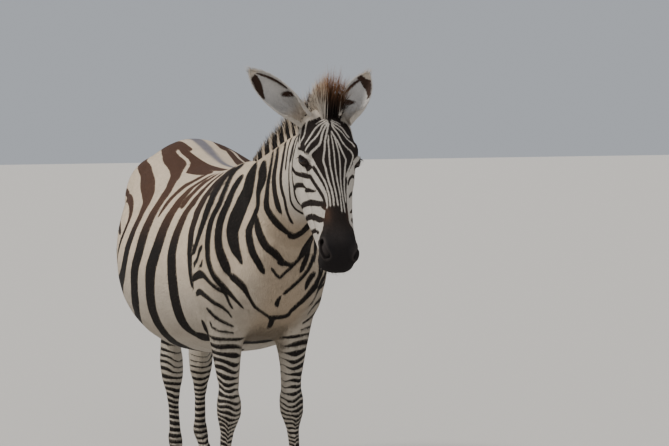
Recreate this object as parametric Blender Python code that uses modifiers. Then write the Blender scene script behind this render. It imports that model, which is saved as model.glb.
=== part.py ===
"""A life-size plains zebra mare, standing square with her head turned a little to her right.

The whole animal is modelled from lofted forms and muscles, fused into one closed skin, thinned to a
faceted solid and parted with thin cuts into head, neck, trunk, tail and legs. Metres, +Z up. She faces
-Y, and +X is her left. The origin is on the floor, under the middle of her bounding box.
"""

import math

import bmesh
import bpy
import numpy as np
from mathutils import Matrix, Vector

# Driving dimensions.
VOXEL = 0.0075
GAP = 0.0004
TRIANGLES = 4800
SIDES = (("left", 1), ("right", -1))

# The head's own frame: along runs from the poll to the lips, up points out of the forehead.
POLL = Vector((0.084, -0.975, 1.475))
HEAD_PITCH = math.radians(66)
HEAD_YAW = math.radians(-7)
HEAD_ROLL = math.radians(6)
EYE_AT = (0.085, 0.152, -0.050)
EYE_RADIUS = 0.024

# The neck's own frame runs from the middle of the shoulders to the back of the skull.
NECK_START = Vector((0.0, -0.44, 1.06))
NECK_END = Vector((0.074, -0.93, 1.36))

FORE_X = {"left": 0.116, "right": 0.124}
FORE_Y = -0.475
HIND_X = 0.080
HIND_Y = 0.545
HIP_HEIGHT = 1.05
# How far each hind foot stands behind (+) or forward of (-) the even stance.
HIND_STEP = {"left": 0.038, "right": -0.171}
HIND_TOE_OUT = math.radians(10)

# Each ear: the middle of its root, and the way from there to its tip.
EAR_ROOT = {"left": Vector((0.150, -0.945, 1.464)), "right": Vector((-0.004, -0.932, 1.466))}
EAR_REACH = {"left": Vector((0.118, 0.085, 0.150)), "right": Vector((-0.166, 0.060, 0.158))}
EAR_FACES = Vector((-0.33, -0.94, 0.05))
EAR_WALL = 0.006
EAR_COLUMNS = 7

# Stands a loft on end: its along becomes the height, and its up becomes the way back.
UPRIGHT = Matrix(((1, 0, 0, 0), (0, 0, 1, 0), (0, 1, 0, 0), (0, 0, 0, 1)))


# ---------------------------------------------------------------- curves through stations

def between(stations, count):
    """Resamples rows along their first column, with a smooth curve that never overshoots a row."""
    rows = np.array(stations, float)
    at, values = rows[:, 0], rows[:, 1:]
    step = np.diff(at)[:, None]
    slope = np.diff(values, axis=0) / step
    tangent = np.vstack([slope[:1], np.zeros((len(rows) - 2, slope.shape[1])), slope[-1:]])
    before, after = slope[:-1], slope[1:]
    same_way = before * after > 0
    total = np.where(same_way, before + after, 1.0)
    tangent[1:-1] = np.where(same_way, 2 * before * after / total, 0.0)
    along = np.linspace(at[0], at[-1], count)
    cell = np.clip(np.searchsorted(at, along, side="right") - 1, 0, len(at) - 2)
    width = step[cell]
    t = ((along - at[cell]) / width[:, 0])[:, None]
    start, end = values[cell], values[cell + 1]
    curve = (
        (2 * t**3 - 3 * t**2 + 1) * start
        + (t**3 - 2 * t**2 + t) * width * tangent[cell]
        + (3 * t**2 - 2 * t**3) * end
        + (t**3 - t**2) * width * tangent[cell + 1]
    )
    return np.column_stack([along, curve])


def power(value, exponent):
    return math.copysign(abs(value) ** exponent, value)


# ---------------------------------------------------------------- forms

def new_object(name, bm, collection):
    mesh = bpy.data.meshes.new(name)
    bm.to_mesh(mesh)
    bm.free()
    obj = bpy.data.objects.new(name, mesh)
    collection.objects.link(obj)
    return obj


def loft(name, frame, stations, collection, count=48, segments=32, low_power=1.0, high_power=1.0):
    """A closed form through stations: (along, side, low, widest at, high, half width).

    frame carries (side, along, up) to the world. A power below 1 squares that half of the section.
    """
    bm = bmesh.new()
    rings = []
    for along, side, low, middle, high, half in between(stations, count):
        ring = []
        for i in range(segments):
            angle = 2 * math.pi * i / segments
            across, upward = math.sin(angle), math.cos(angle)
            upper = upward > 0
            squareness = high_power if upper else low_power
            reach = high - middle if upper else middle - low
            x = side + half * power(across, squareness)
            z = middle + reach * power(upward, squareness)
            ring.append(bm.verts.new(frame @ Vector((x, along, z))))
        rings.append(ring)
    for one, two in zip(rings, rings[1:]):
        for i in range(segments):
            j = (i + 1) % segments
            bm.faces.new((one[i], one[j], two[j], two[i]))
    bm.faces.new(rings[0])
    bm.faces.new(rings[-1])
    bmesh.ops.recalc_face_normals(bm, faces=bm.faces)
    return new_object(name, bm, collection)


def muscle(name, frame, centre, radii, collection, turn=(0, 0, 0)):
    """An ellipsoid at centre in the frame, turned in degrees about its own X, Y and Z."""
    bm = bmesh.new()
    turned = Matrix.Identity(4)
    for angle, axis in zip(turn, "XYZ"):
        turned = turned @ Matrix.Rotation(math.radians(angle), 4, axis)
    size = Matrix.Diagonal((*radii, 1))
    matrix = frame @ Matrix.Translation(centre) @ turned @ size
    bmesh.ops.create_uvsphere(bm, u_segments=24, v_segments=16, radius=1, matrix=matrix)
    return new_object(name, bm, collection)


def head_frame():
    """(side, along, up) in the head to the world: along falls forward by the pitch, then turns."""
    yaw = Matrix.Rotation(HEAD_YAW, 4, "Z")
    pitch = Matrix.Rotation(HEAD_PITCH, 4, "X")
    roll = Matrix.Rotation(HEAD_ROLL, 4, "Y")
    forward = Matrix.Diagonal((1, -1, 1, 1))
    return Matrix.Translation(POLL) @ yaw @ pitch @ roll @ forward


def neck_frame():
    along = (NECK_END - NECK_START).normalized()
    side = along.cross(Vector((0, 0, 1))).normalized()
    side = side if side.x > 0 else -side
    up = side.cross(along)
    up = up if up.z > 0 else -up
    columns = Matrix((side, along, up)).transposed().to_4x4()
    return Matrix.Translation(NECK_START) @ columns


# ---------------------------------------------------------------- the body's forms

TRUNK = (
    # along, side, belly, widest, back, half width
    (-0.725, 0, 0.88, 0.95, 1.02, 0.070),
    (-0.69, 0, 0.800, 0.94, 1.09, 0.125),
    (-0.62, 0, 0.715, 0.92, 1.185, 0.175),
    (-0.53, 0, 0.665, 0.91, 1.270, 0.210),
    (-0.43, 0, 0.640, 0.90, 1.305, 0.238),
    (-0.32, 0, 0.600, 0.88, 1.282, 0.292),
    (-0.20, 0, 0.562, 0.88, 1.265, 0.350),
    (-0.05, 0, 0.545, 0.89, 1.272, 0.398),
    (0.10, 0, 0.560, 0.92, 1.302, 0.394),
    (0.24, 0, 0.612, 0.97, 1.340, 0.354),
    (0.37, 0, 0.690, 1.00, 1.362, 0.300),
    (0.48, 0, 0.790, 1.03, 1.345, 0.252),
    (0.57, 0, 0.880, 1.06, 1.282, 0.198),
    (0.63, 0, 0.960, 1.07, 1.195, 0.120),
    (0.655, 0, 1.02, 1.07, 1.13, 0.060),
)

NECK = (
    # along, side, throat, widest, crest, half width
    (-0.06, 0, -0.270, -0.02, 0.215, 0.165),
    (0.05, 0, -0.260, -0.03, 0.205, 0.155),
    (0.17, 0.004, -0.225, -0.04, 0.190, 0.132),
    (0.29, 0.006, -0.182, -0.04, 0.172, 0.108),
    (0.40, 0.006, -0.148, -0.035, 0.150, 0.089),
    (0.50, 0.003, -0.128, -0.03, 0.128, 0.077),
    (0.58, 0, -0.115, -0.02, 0.110, 0.068),
    (0.64, 0, -0.09, -0.01, 0.08, 0.055),
)

SKULL = (
    # along, side, jaw, widest, face, half width
    (-0.045, 0, -0.110, -0.070, -0.030, 0.050),
    (-0.01, 0, -0.150, -0.070, -0.012, 0.082),
    (0.04, 0, -0.175, -0.068, -0.002, 0.095),
    (0.10, 0, -0.180, -0.060, 0.004, 0.098),
    (0.15, 0, -0.180, -0.056, 0.006, 0.096),
    (0.20, 0, -0.175, -0.064, 0.003, 0.089),
    (0.26, 0, -0.165, -0.078, -0.002, 0.077),
    (0.33, 0, -0.145, -0.080, -0.006, 0.070),
    (0.40, 0, -0.125, -0.072, -0.008, 0.066),
    (0.45, 0, -0.118, -0.062, -0.012, 0.067),
    (0.495, 0, -0.112, -0.064, -0.026, 0.065),
    (0.526, 0, -0.104, -0.074, -0.046, 0.050),
    (0.542, 0, -0.096, -0.080, -0.064, 0.028),
)

JAW = (
    # along, side, low, widest, high, half width
    (0.05, 0, -0.222, -0.155, -0.10, 0.060),
    (0.10, 0, -0.252, -0.165, -0.10, 0.078),
    (0.16, 0, -0.264, -0.170, -0.10, 0.082),
    (0.22, 0, -0.256, -0.165, -0.10, 0.080),
    (0.29, 0, -0.230, -0.150, -0.09, 0.074),
    (0.36, 0, -0.196, -0.130, -0.09, 0.062),
    (0.43, 0, -0.163, -0.120, -0.09, 0.051),
    (0.485, 0, -0.146, -0.118, -0.09, 0.042),
    (0.516, 0, -0.134, -0.112, -0.09, 0.034),
    (0.528, 0, -0.122, -0.110, -0.10, 0.018),
)

FORELEG = (
    # height, outward, back, widest, front, half width; outward from FORE_X, the rest from FORE_Y
    (-0.02, 0.032, -0.020, -0.050, -0.100, 0.047),
    (0.05, 0.027, -0.012, -0.042, -0.078, 0.037),
    (0.072, 0.025, -0.010, -0.032, -0.062, 0.029),
    (0.105, 0.022, 0.030, -0.006, -0.040, 0.030),
    (0.130, 0.020, 0.040, 0.002, -0.033, 0.0315),
    (0.165, 0.018, 0.034, 0.004, -0.026, 0.0245),
    (0.23, 0.014, 0.030, 0.002, -0.026, 0.0225),
    (0.30, 0.008, 0.030, 0.000, -0.029, 0.0260),
    (0.345, 0.003, 0.036, -0.004, -0.038, 0.0370),
    (0.385, 0, 0.044, -0.006, -0.047, 0.0480),
    (0.420, 0, 0.046, -0.004, -0.049, 0.0480),
    (0.465, 0, 0.044, 0.000, -0.043, 0.0390),
    (0.53, 0.002, 0.052, 0.004, -0.046, 0.0460),
    (0.60, 0.005, 0.066, 0.006, -0.058, 0.0560),
    (0.68, 0.010, 0.084, 0.006, -0.080, 0.0660),
    (0.76, 0.014, 0.112, 0.006, -0.105, 0.0720),
    (0.86, 0.018, 0.125, 0.000, -0.140, 0.0780),
    (0.96, 0.018, 0.110, 0.000, -0.150, 0.0780),
)

HINDLEG = (
    # height, outward, back, widest, front, half width; outward from HIND_X, the rest from HIND_Y
    (-0.02, 0, -0.020, -0.054, -0.104, 0.044),
    (0.05, 0, -0.016, -0.046, -0.082, 0.035),
    (0.072, 0, -0.014, -0.038, -0.066, 0.028),
    (0.105, 0, 0.026, -0.012, -0.046, 0.030),
    (0.135, 0, 0.040, 0.000, -0.034, 0.0320),
    (0.17, 0, 0.036, 0.002, -0.028, 0.0260),
    (0.26, 0, 0.034, 0.002, -0.029, 0.0250),
    (0.33, 0, 0.042, 0.002, -0.040, 0.0330),
    (0.39, 0, 0.054, 0.002, -0.058, 0.0470),
    (0.45, 0, 0.068, 0.002, -0.066, 0.0500),
    (0.505, 0, 0.078, 0.004, -0.066, 0.0440),
    (0.54, 0, 0.070, 0.000, -0.068, 0.0420),
    (0.59, 0, 0.036, -0.020, -0.084, 0.0460),
    (0.65, 0.004, 0.014, -0.060, -0.140, 0.0560),
    (0.72, 0.010, 0.012, -0.100, -0.225, 0.0780),
    (0.80, 0.020, 0.030, -0.130, -0.310, 0.0980),
    (0.90, 0.034, 0.055, -0.150, -0.360, 0.1180),
    (1.00, 0.042, 0.070, -0.150, -0.350, 0.1280),
    (1.10, 0.045, 0.040, -0.150, -0.320, 0.1200),
)

MANE = (
    # along, side, root, widest, top, half width
    (-1.006, 0.092, 1.535, 1.575, 1.600, 0.014),
    (-0.994, 0.092, 1.490, 1.575, 1.632, 0.028),
    (-0.970, 0.090, 1.400, 1.575, 1.645, 0.036),
    (-0.93, 0.086, 1.400, 1.560, 1.618, 0.032),
    (-0.88, 0.076, 1.400, 1.500, 1.585, 0.026),
    (-0.81, 0.062, 1.350, 1.440, 1.560, 0.022),
    (-0.72, 0.045, 1.300, 1.390, 1.520, 0.020),
    (-0.60, 0.022, 1.250, 1.330, 1.450, 0.019),
    (-0.50, 0.008, 1.220, 1.290, 1.388, 0.017),
    (-0.42, 0, 1.200, 1.270, 1.335, 0.013),
    (-0.38, 0, 1.200, 1.250, 1.308, 0.008),
)

TAIL = (
    # height, side, back, middle, front, half width
    (0.70, 0, 0.718, 0.697, 0.676, 0.020),
    (0.80, 0, 0.722, 0.701, 0.680, 0.020),
    (0.95, 0, 0.727, 0.704, 0.681, 0.021),
    (1.07, 0, 0.724, 0.698, 0.668, 0.024),
    (1.15, 0, 0.706, 0.672, 0.630, 0.030),
    (1.20, 0, 0.680, 0.640, 0.580, 0.036),
    (1.235, 0, 0.640, 0.600, 0.540, 0.034),
    (1.258, 0, 0.596, 0.565, 0.525, 0.024),
)

TAIL_TUFT = (
    # height, side, back, middle, front, half width
    (0.400, 0, 0.708, 0.697, 0.686, 0.010),
    (0.440, 0, 0.726, 0.698, 0.670, 0.026),
    (0.510, 0, 0.736, 0.698, 0.660, 0.037),
    (0.600, 0, 0.732, 0.698, 0.664, 0.034),
    (0.670, 0, 0.722, 0.697, 0.672, 0.025),
    (0.6996, 0, 0.718, 0.697, 0.676, 0.021),
)


def make_trunk(forms):
    world = Matrix.Identity(4)
    loft("trunk_form", world, TRUNK, forms, low_power=0.82, high_power=1.04)
    for side, sign in SIDES:
        slope = (-18, sign * -8, 0)
        muscle("shoulder_" + side, world, (sign * 0.140, -0.48, 1.00), (0.098, 0.140, 0.230), forms, slope)
        muscle("upper_arm_" + side, world, (sign * 0.150, -0.475, 0.830), (0.084, 0.125, 0.125), forms)
        muscle("breast_" + side, world, (sign * 0.082, -0.625, 0.880), (0.088, 0.086, 0.130), forms)
        muscle("hip_" + side, world, (sign * 0.150, 0.34, 1.105), (0.140, 0.240, 0.190), forms)
        muscle("thigh_" + side, world, (sign * 0.140, 0.445, 0.940), (0.125, 0.200, 0.240), forms)


def make_neck(forms):
    loft("neck_form", neck_frame(), NECK, forms, low_power=0.98, high_power=1.1)


def make_head(forms):
    frame = head_frame()
    loft("skull_form", frame, SKULL, forms, high_power=0.86)
    loft("jaw_form", frame, JAW, forms, low_power=0.9)
    for side, sign in SIDES:
        inward = (0, 0, sign * 8)
        muscle("cheek_" + side, frame, (sign * 0.050, 0.140, -0.165), (0.042, 0.100, 0.085), forms)
        muscle("brow_" + side, frame, (sign * 0.078, 0.128, -0.030), (0.022, 0.045, 0.024), forms, inward)
        place = (sign * 0.070, 0.205, -0.082)
        muscle("cheekbone_" + side, frame, place, (0.022, 0.085, 0.022), forms, inward)
        muscle("nostril_" + side, frame, (sign * 0.046, 0.480, -0.050), (0.028, 0.040, 0.034), forms)
        muscle("lip_" + side, frame, (sign * 0.032, 0.495, -0.090), (0.034, 0.040, 0.030), forms)
    muscle("chin", frame, (0, 0.492, -0.134), (0.036, 0.030, 0.020), forms)


def make_leg(name, forms, stations, x, y, sign, step, toe_out):
    """stations run up the leg; from the hip down it leans until the foot has moved by step."""
    rows = []
    for height, outward, back, widest, front, half in stations:
        lean = step * max(0.0, 1 - height / HIP_HEIGHT)
        aside = sign * (outward + lean * math.sin(toe_out))
        lean *= math.cos(toe_out)
        rows.append((height, aside, front + lean, widest + lean, back + lean, half))
    place = Matrix.Translation((sign * x, y, 0)) @ Matrix.Rotation(sign * toe_out, 4, "Z")
    loft(name, place @ UPRIGHT, rows, forms, count=90, segments=28)


def make_legs(forms):
    for side, sign in SIDES:
        make_leg("foreleg_" + side, forms, FORELEG, FORE_X[side], FORE_Y, sign, 0.0, 0.0)
        make_leg("hindleg_" + side, forms, HINDLEG, HIND_X, HIND_Y, sign, HIND_STEP[side], HIND_TOE_OUT)


# ---------------------------------------------------------------- fusing

def evaluated(obj):
    return bpy.data.meshes.new_from_object(obj.evaluated_get(bpy.context.evaluated_depsgraph_get()))


def apply_modifiers(obj):
    mesh = evaluated(obj)
    old = obj.data
    obj.modifiers.clear()
    obj.data = mesh
    bpy.data.meshes.remove(old)


def joined(name, objects, collection):
    bm = bmesh.new()
    for obj in objects:
        bm.from_mesh(obj.data)
    return new_object(name, bm, collection)


def ramp(value, low, high):
    return min(1.0, max(0.0, (value - low) / (high - low)))


def on_head(point, to_head):
    """0 on the neck and body, 1 on the face."""
    side, along, up = to_head @ point
    return ramp(along, -0.02, 0.04) if up > -0.3 and point.y < -0.8 else 0.0


def on_leg(point):
    """0 on the body, 1 on the legs below the elbow and the stifle."""
    return ramp(-point.z, -0.66, -0.52) if abs(point.y) > 0.33 else 0.0


def weigh(obj, name, weight_at):
    group = obj.vertex_groups.new(name=name)
    for vertex in obj.data.vertices:
        group.add([vertex.index], weight_at(vertex.co), "REPLACE")


def fuse(forms, collection):
    body = joined("body", list(forms.objects), collection)
    remesh = body.modifiers.new("fuse", "REMESH")
    remesh.mode = "VOXEL"
    remesh.voxel_size = VOXEL
    apply_modifiers(body)
    to_head = head_frame().inverted()
    weigh(body, "soft", lambda point: 1.0 - 0.93 * max(on_head(point, to_head), on_leg(point)))
    smooth = body.modifiers.new("smooth", "SMOOTH")
    smooth.factor = 0.5
    smooth.iterations = 40
    smooth.vertex_group = "soft"
    apply_modifiers(body)
    body.vertex_groups.clear()
    weigh(body, "plain", lambda point: 0.72 - 0.5 * on_head(point, to_head) - 0.25 * on_leg(point))
    thin = body.modifiers.new("thin", "DECIMATE")
    thin.ratio = TRIANGLES / (2 * len(body.data.polygons))
    thin.vertex_group = "plain"
    thin.use_collapse_triangulate = True
    apply_modifiers(body)
    body.vertex_groups.clear()
    return body


# ---------------------------------------------------------------- cutting

def as_cutter(obj):
    obj.hide_render = True
    obj.display_type = "WIRE"
    return obj


def cut(obj, cutter):
    boolean = obj.modifiers.new("cut_" + cutter.name, "BOOLEAN")
    boolean.operation = "DIFFERENCE"
    boolean.solver = "EXACT"
    boolean.object = cutter
    apply_modifiers(obj)


def swollen(obj, cutters):
    """A copy of the object grown by the gap, to trim what is set against it."""
    copy = as_cutter(bpy.data.objects.new(obj.name + "_grown", obj.data.copy()))
    cutters.objects.link(copy)
    for vertex, normal in zip(copy.data.vertices, [v.normal.copy() for v in copy.data.vertices]):
        vertex.co += normal * GAP
    return copy


def islands(obj):
    """Splits a mesh into its loose bodies, as lists of faces' vertices."""
    bm = bmesh.new()
    bm.from_mesh(obj.data)
    left = set(bm.faces)
    found = []
    while left:
        start = left.pop()
        group = {start}
        front = [start]
        while front:
            face = front.pop()
            for edge in face.edges:
                for other in edge.link_faces:
                    if other in left:
                        left.discard(other)
                        group.add(other)
                        front.append(other)
        piece = bmesh.new()
        made = {}
        for face in group:
            for vertex in face.verts:
                if vertex not in made:
                    made[vertex] = piece.verts.new(vertex.co)
            piece.faces.new([made[vertex] for vertex in face.verts])
        found.append(piece)
    bm.free()
    return found


def centre_of(bm):
    total = Vector()
    for vertex in bm.verts:
        total += vertex.co
    return total / len(bm.verts)


# Where the body is parted, behind the jaw and before the shoulders: a plate's middle, size and tilt.
PLATES = (
    ((0.07, -0.850, 1.330), (0.5, GAP, 0.62), 15),
    ((0, -0.575, 1.12), (0.8, GAP, 0.75), -37),
)
ELBOW = 0.605
KNEE = 0.400
STIFLE = 0.645
HOCK = 0.450
CORONET = 0.055
CORONET_TILT = 14
THROAT_Y = -0.85
SHOULDER_Y = -0.45
# A plate through one leg reaches from beside the midline to well outside the leg.
LEG_PLATE_X = 0.15
LEG_PLATE_WIDTH = 0.29
STIFLE_Y = 0.47
HOCK_Y = 0.50
# The middle of a foot lies this far forward of its leg's own line.
TOE_FORWARD = 0.04
GROUND_SIZE = (2, 3, 0.1)


def plates():
    """Every plate that parts the body: its middle, its size and its tilt about X."""
    found = list(PLATES)
    for side, sign in SIDES:
        hind_foot_y = HIND_Y + HIND_STEP[side] - TOE_FORWARD
        for y, height, deep, tilt in (
            (FORE_Y, ELBOW, 0.20, 0),
            (FORE_Y, KNEE, 0.20, 0),
            (FORE_Y - TOE_FORWARD, CORONET, 0.20, CORONET_TILT),
            (STIFLE_Y, STIFLE, 0.30, 0),
            (HOCK_Y, HOCK, 0.36, 0),
            (hind_foot_y, CORONET, 0.17, CORONET_TILT),
        ):
            found.append(((sign * LEG_PLATE_X, y, height), (LEG_PLATE_WIDTH, deep, GAP), tilt))
    return found


def part_body(body, cutters):
    bm = bmesh.new()
    for centre, size, tilt in plates():
        place = Matrix.Translation(centre) @ Matrix.Rotation(math.radians(tilt), 4, "X")
        bmesh.ops.create_cube(bm, size=1, matrix=place @ Matrix.Diagonal((*size, 1)))
    ground = Matrix.Translation((0, 0, -GROUND_SIZE[2] / 2)) @ Matrix.Diagonal((*GROUND_SIZE, 1))
    bmesh.ops.create_cube(bm, size=1, matrix=ground)
    cut(body, as_cutter(new_object("plates", bm, cutters)))


def name_of(point):
    """The name of the flesh whose middle is at point."""
    side = "left" if point.x > 0 else "right"
    leg = "fore" if point.y < 0 else "hind"
    joint = KNEE if leg == "fore" else HOCK
    top = ELBOW if leg == "fore" else STIFLE
    if point.z < CORONET:
        return leg + "_hoof_" + side
    if point.z < joint:
        return leg + "leg_" + side + "_lower"
    if point.z < top:
        return leg + "leg_" + side + "_upper"
    if point.y > SHOULDER_Y:
        return "trunk"
    return "head" if point.y < THROAT_Y else "neck"


# ---------------------------------------------------------------- eyes, ears, mane and tail

def make_eyes(zebra, cutters, head):
    frame = head_frame()
    for side, sign in SIDES:
        across, along, up = EYE_AT
        centre = frame @ Vector((sign * across, along, up))
        for name, radius, collection in (
            ("eye_" + side, EYE_RADIUS, zebra),
            ("socket_" + side, EYE_RADIUS + GAP, cutters),
        ):
            bm = bmesh.new()
            place = Matrix.Translation(centre)
            bmesh.ops.create_uvsphere(bm, u_segments=14, v_segments=9, radius=radius, matrix=place)
            made = new_object(name, bm, collection)
        cut(head, as_cutter(made))
        place, radii = (sign * 0.046, 0.496, -0.030), (0.011, 0.022, 0.016)
        pit = muscle("nostril_pit_" + side, frame, place, radii, cutters, (0, 0, sign * 20))
        cut(head, as_cutter(pit))


def make_ear(side, zebra):
    """A cupped leaf: rings of an open channel from root to tip, given its wall by Solidify."""
    reach = EAR_REACH[side]
    axis = reach.normalized()
    faces = (EAR_FACES - axis * EAR_FACES.dot(axis)).normalized()
    across = axis.cross(faces).normalized()
    shape = between((
        # from root to tip: half width, depth of the cup, half the angle it wraps, its middle's bow back
        (-0.10, 0.030, 0.032, 150, 0.000),
        (0.10, 0.037, 0.036, 138, 0.002),
        (0.30, 0.046, 0.040, 112, 0.003),
        (0.50, 0.046, 0.036, 98, 0.002),
        (0.70, 0.040, 0.027, 88, 0.000),
        (0.86, 0.028, 0.017, 80, -0.003),
        (0.96, 0.014, 0.008, 75, -0.006),
        (1.00, 0.003, 0.002, 70, -0.008),
    ), 11)
    bm = bmesh.new()
    rings = []
    for at, half, depth, wrap, bow in shape:
        middle = EAR_ROOT[side] + reach * at - faces * bow
        ring = []
        for i in range(EAR_COLUMNS + 1):
            angle = math.radians(wrap) * (2 * i / EAR_COLUMNS - 1)
            offset = across * (half * math.sin(angle)) - faces * (depth * math.cos(angle))
            ring.append(bm.verts.new(middle + offset))
        rings.append(ring)
    for one, two in zip(rings, rings[1:]):
        for i in range(EAR_COLUMNS):
            bm.faces.new((one[i], one[i + 1], two[i + 1], two[i]))
    bmesh.ops.recalc_face_normals(bm, faces=bm.faces)
    ear = new_object("ear_" + side, bm, zebra)
    wall = ear.modifiers.new("wall", "SOLIDIFY")
    wall.thickness = EAR_WALL
    wall.offset = 0
    wall.use_even_offset = False
    apply_modifiers(ear)
    return ear


def make_mane(zebra):
    return loft("mane", Matrix.Identity(4), MANE, zebra, count=20, segments=10, high_power=0.9)


def make_tail(zebra):
    """The dock with its hair, and the dark switch below it: returns the dock."""
    made = []
    for name, stations, count in (("tail", TAIL, 14), ("tail_tuft", TAIL_TUFT, 10)):
        rows = [(height, side, front, mid, back, half) for height, side, back, mid, front, half in stations]
        made.append(loft(name, UPRIGHT, rows, zebra, count=count, segments=10))
    return made[0]


# ---------------------------------------------------------------- materials

MATERIALS = {
    # name: colour, roughness
    "coat": ((0.33, 0.27, 0.21), 0.85),
    "ear_coat": ((0.42, 0.37, 0.31), 0.9),
    "mane_hair": ((0.16, 0.09, 0.055), 0.8),
    "tail_hair": ((0.03, 0.022, 0.018), 0.75),
    "hoof_horn": ((0.045, 0.038, 0.032), 0.5),
    "eyeball": ((0.012, 0.008, 0.006), 0.08),
}


# What a node's name starts with, and its material.
MATERIAL_OF = {"ear": "ear_coat", "mane": "mane_hair", "tail_tuft": "tail_hair", "eye": "eyeball"}


def material(name):
    found = bpy.data.materials.get(name)
    if found:
        return found
    colour, roughness = MATERIALS[name]
    made = bpy.data.materials.new(name)
    made.use_nodes = True
    shader = made.node_tree.nodes["Principled BSDF"]
    shader.inputs["Base Color"].default_value = (*colour, 1)
    shader.inputs["Roughness"].default_value = roughness
    shader.inputs["Metallic"].default_value = 0.0
    return made


def material_of(name):
    for start, kind in MATERIAL_OF.items():
        if name.startswith(start):
            return kind
    return "hoof_horn" if "hoof" in name else "coat"


def finish(zebra):
    """Sets the model on the origin, gives each object its material and shades it smooth."""
    corners = [vertex.co for obj in zebra.objects for vertex in obj.data.vertices]
    low = Vector([min(corner[i] for corner in corners) for i in range(3)])
    high = Vector([max(corner[i] for corner in corners) for i in range(3)])
    shift = Matrix.Translation((-(low.x + high.x) / 2, -(low.y + high.y) / 2, -low.z))
    for obj in zebra.objects:
        obj.data.transform(shift)
        obj.data.materials.clear()
        obj.data.materials.append(material(material_of(obj.name)))
        obj.data.shade_smooth()
        obj.data.set_sharp_from_angle(angle=math.radians(50))


def main():
    for obj in list(bpy.data.objects):
        bpy.data.objects.remove(obj)
    zebra = bpy.data.collections.new("zebra")
    cutters = bpy.data.collections.new("cutters")
    for collection in (zebra, cutters):
        bpy.context.scene.collection.children.link(collection)
    forms = bpy.data.collections.new("forms")
    make_trunk(forms)
    make_neck(forms)
    make_head(forms)
    make_legs(forms)
    body = fuse(forms, cutters)
    for form in list(forms.objects):
        bpy.data.objects.remove(form)
    bpy.data.collections.remove(forms)

    grown = swollen(body, cutters)
    part_body(body, cutters)
    for piece in islands(body):
        new_object(name_of(centre_of(piece)), piece, zebra)
    bpy.data.objects.remove(body)

    ears = [make_ear(side, zebra) for side, _ in SIDES]
    mane = make_mane(zebra)
    tail = make_tail(zebra)
    for obj in (*ears, mane, tail):
        cut(obj, grown)
    for ear in ears:
        cut(mane, swollen(ear, cutters))
    make_eyes(zebra, cutters, zebra.objects["head"])
    finish(zebra)


main()
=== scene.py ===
# A life-size plains zebra mare: one skin over the frame's flesh, with striped hair, ears, eyes and hooves.
# Metres, +Z up. She faces -Y and her left is +X.

import math

import bmesh
import bpy
import numpy as np
from mathutils import Matrix, Vector
from mathutils.bvhtree import BVHTree


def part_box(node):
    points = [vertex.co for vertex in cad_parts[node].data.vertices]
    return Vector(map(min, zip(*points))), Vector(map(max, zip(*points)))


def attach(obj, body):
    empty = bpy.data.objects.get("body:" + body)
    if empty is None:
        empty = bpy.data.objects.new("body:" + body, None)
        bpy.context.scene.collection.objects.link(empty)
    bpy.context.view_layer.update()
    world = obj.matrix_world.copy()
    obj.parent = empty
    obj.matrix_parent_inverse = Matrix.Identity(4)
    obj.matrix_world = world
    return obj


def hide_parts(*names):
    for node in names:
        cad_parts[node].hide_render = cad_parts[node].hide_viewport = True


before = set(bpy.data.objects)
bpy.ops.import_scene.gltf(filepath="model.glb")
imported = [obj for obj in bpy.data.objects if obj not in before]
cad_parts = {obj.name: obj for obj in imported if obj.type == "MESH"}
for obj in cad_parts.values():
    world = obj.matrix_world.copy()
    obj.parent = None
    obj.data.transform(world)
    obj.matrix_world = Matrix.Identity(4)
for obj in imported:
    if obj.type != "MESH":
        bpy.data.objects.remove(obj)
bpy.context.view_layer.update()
sides = {"left": 1, "right": -1}
lightMark = -0.05  # a mark so low is light hair, whatever lies near


# camera, floor and light

cameraPlace = {
    "at": (-2.2, -6.915, 1.583),
    "turn": 20.5,  # degrees towards her left from straight back along her trunk
    "down": 4.17,
    "lens": 103.96,
}


def makeCamera():
    data = bpy.data.cameras.new("camera")
    data.lens = cameraPlace["lens"]
    data.sensor_width = 36
    camera = bpy.data.objects.new("camera", data)
    bpy.context.collection.objects.link(camera)
    turn, down = math.radians(cameraPlace["turn"]), math.radians(cameraPlace["down"])
    ahead = Vector((math.sin(turn) * math.cos(down), math.cos(turn) * math.cos(down), -math.sin(down)))
    camera.location = cameraPlace["at"]
    camera.rotation_euler = ahead.to_track_quat("-Z", "Y").to_euler()
    bpy.context.scene.camera = camera


lamps = {
    # name: (way the light goes, strength, softness in degrees, colour)
    "key": ((0.80, -0.15, -0.85), 3.6, 14, (1.0, 0.96, 0.90)),
    "fill": ((0.35, 1.0, -0.45), 0.75, 60, (1.0, 0.98, 0.96)),
    "far": ((-1.0, 0.15, -0.5), 0.4, 60, (0.92, 0.96, 1.0)),
}


studio = {"sky": (0.70, 0.74, 0.80), "skyStrength": 0.60, "floor": (0.52, 0.50, 0.47), "floorHalf": 30}


def makeLight():
    for name, (way, strength, softness, colour) in lamps.items():
        data = bpy.data.lights.new(name, "SUN")
        data.energy = strength
        data.angle = math.radians(softness)
        data.color = colour
        lamp = bpy.data.objects.new(name, data)
        bpy.context.collection.objects.link(lamp)
        lamp.rotation_euler = Vector(way).to_track_quat("-Z", "Y").to_euler()
    world = bpy.data.worlds.new("studio")
    world.use_nodes = True
    background = world.node_tree.nodes["Background"]
    background.inputs["Color"].default_value = (*studio["sky"], 1)
    background.inputs["Strength"].default_value = studio["skyStrength"]
    bpy.context.scene.world = world


def makeFloor():
    bm = bmesh.new()
    bmesh.ops.create_grid(bm, x_segments=2, y_segments=2, size=studio["floorHalf"])
    floor = newPiece("floor", bm)
    floor.data.materials.append(plainMaterial("floor_pale", studio["floor"], 0.95))


# helpers

def newPiece(name, bm):
    mesh = bpy.data.meshes.new(name)
    bm.to_mesh(mesh)
    bm.free()
    return linkPiece(name, mesh)


def linkPiece(name, mesh):
    piece = bpy.data.objects.new(name, mesh)
    bpy.context.collection.objects.link(piece)
    return piece


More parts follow.
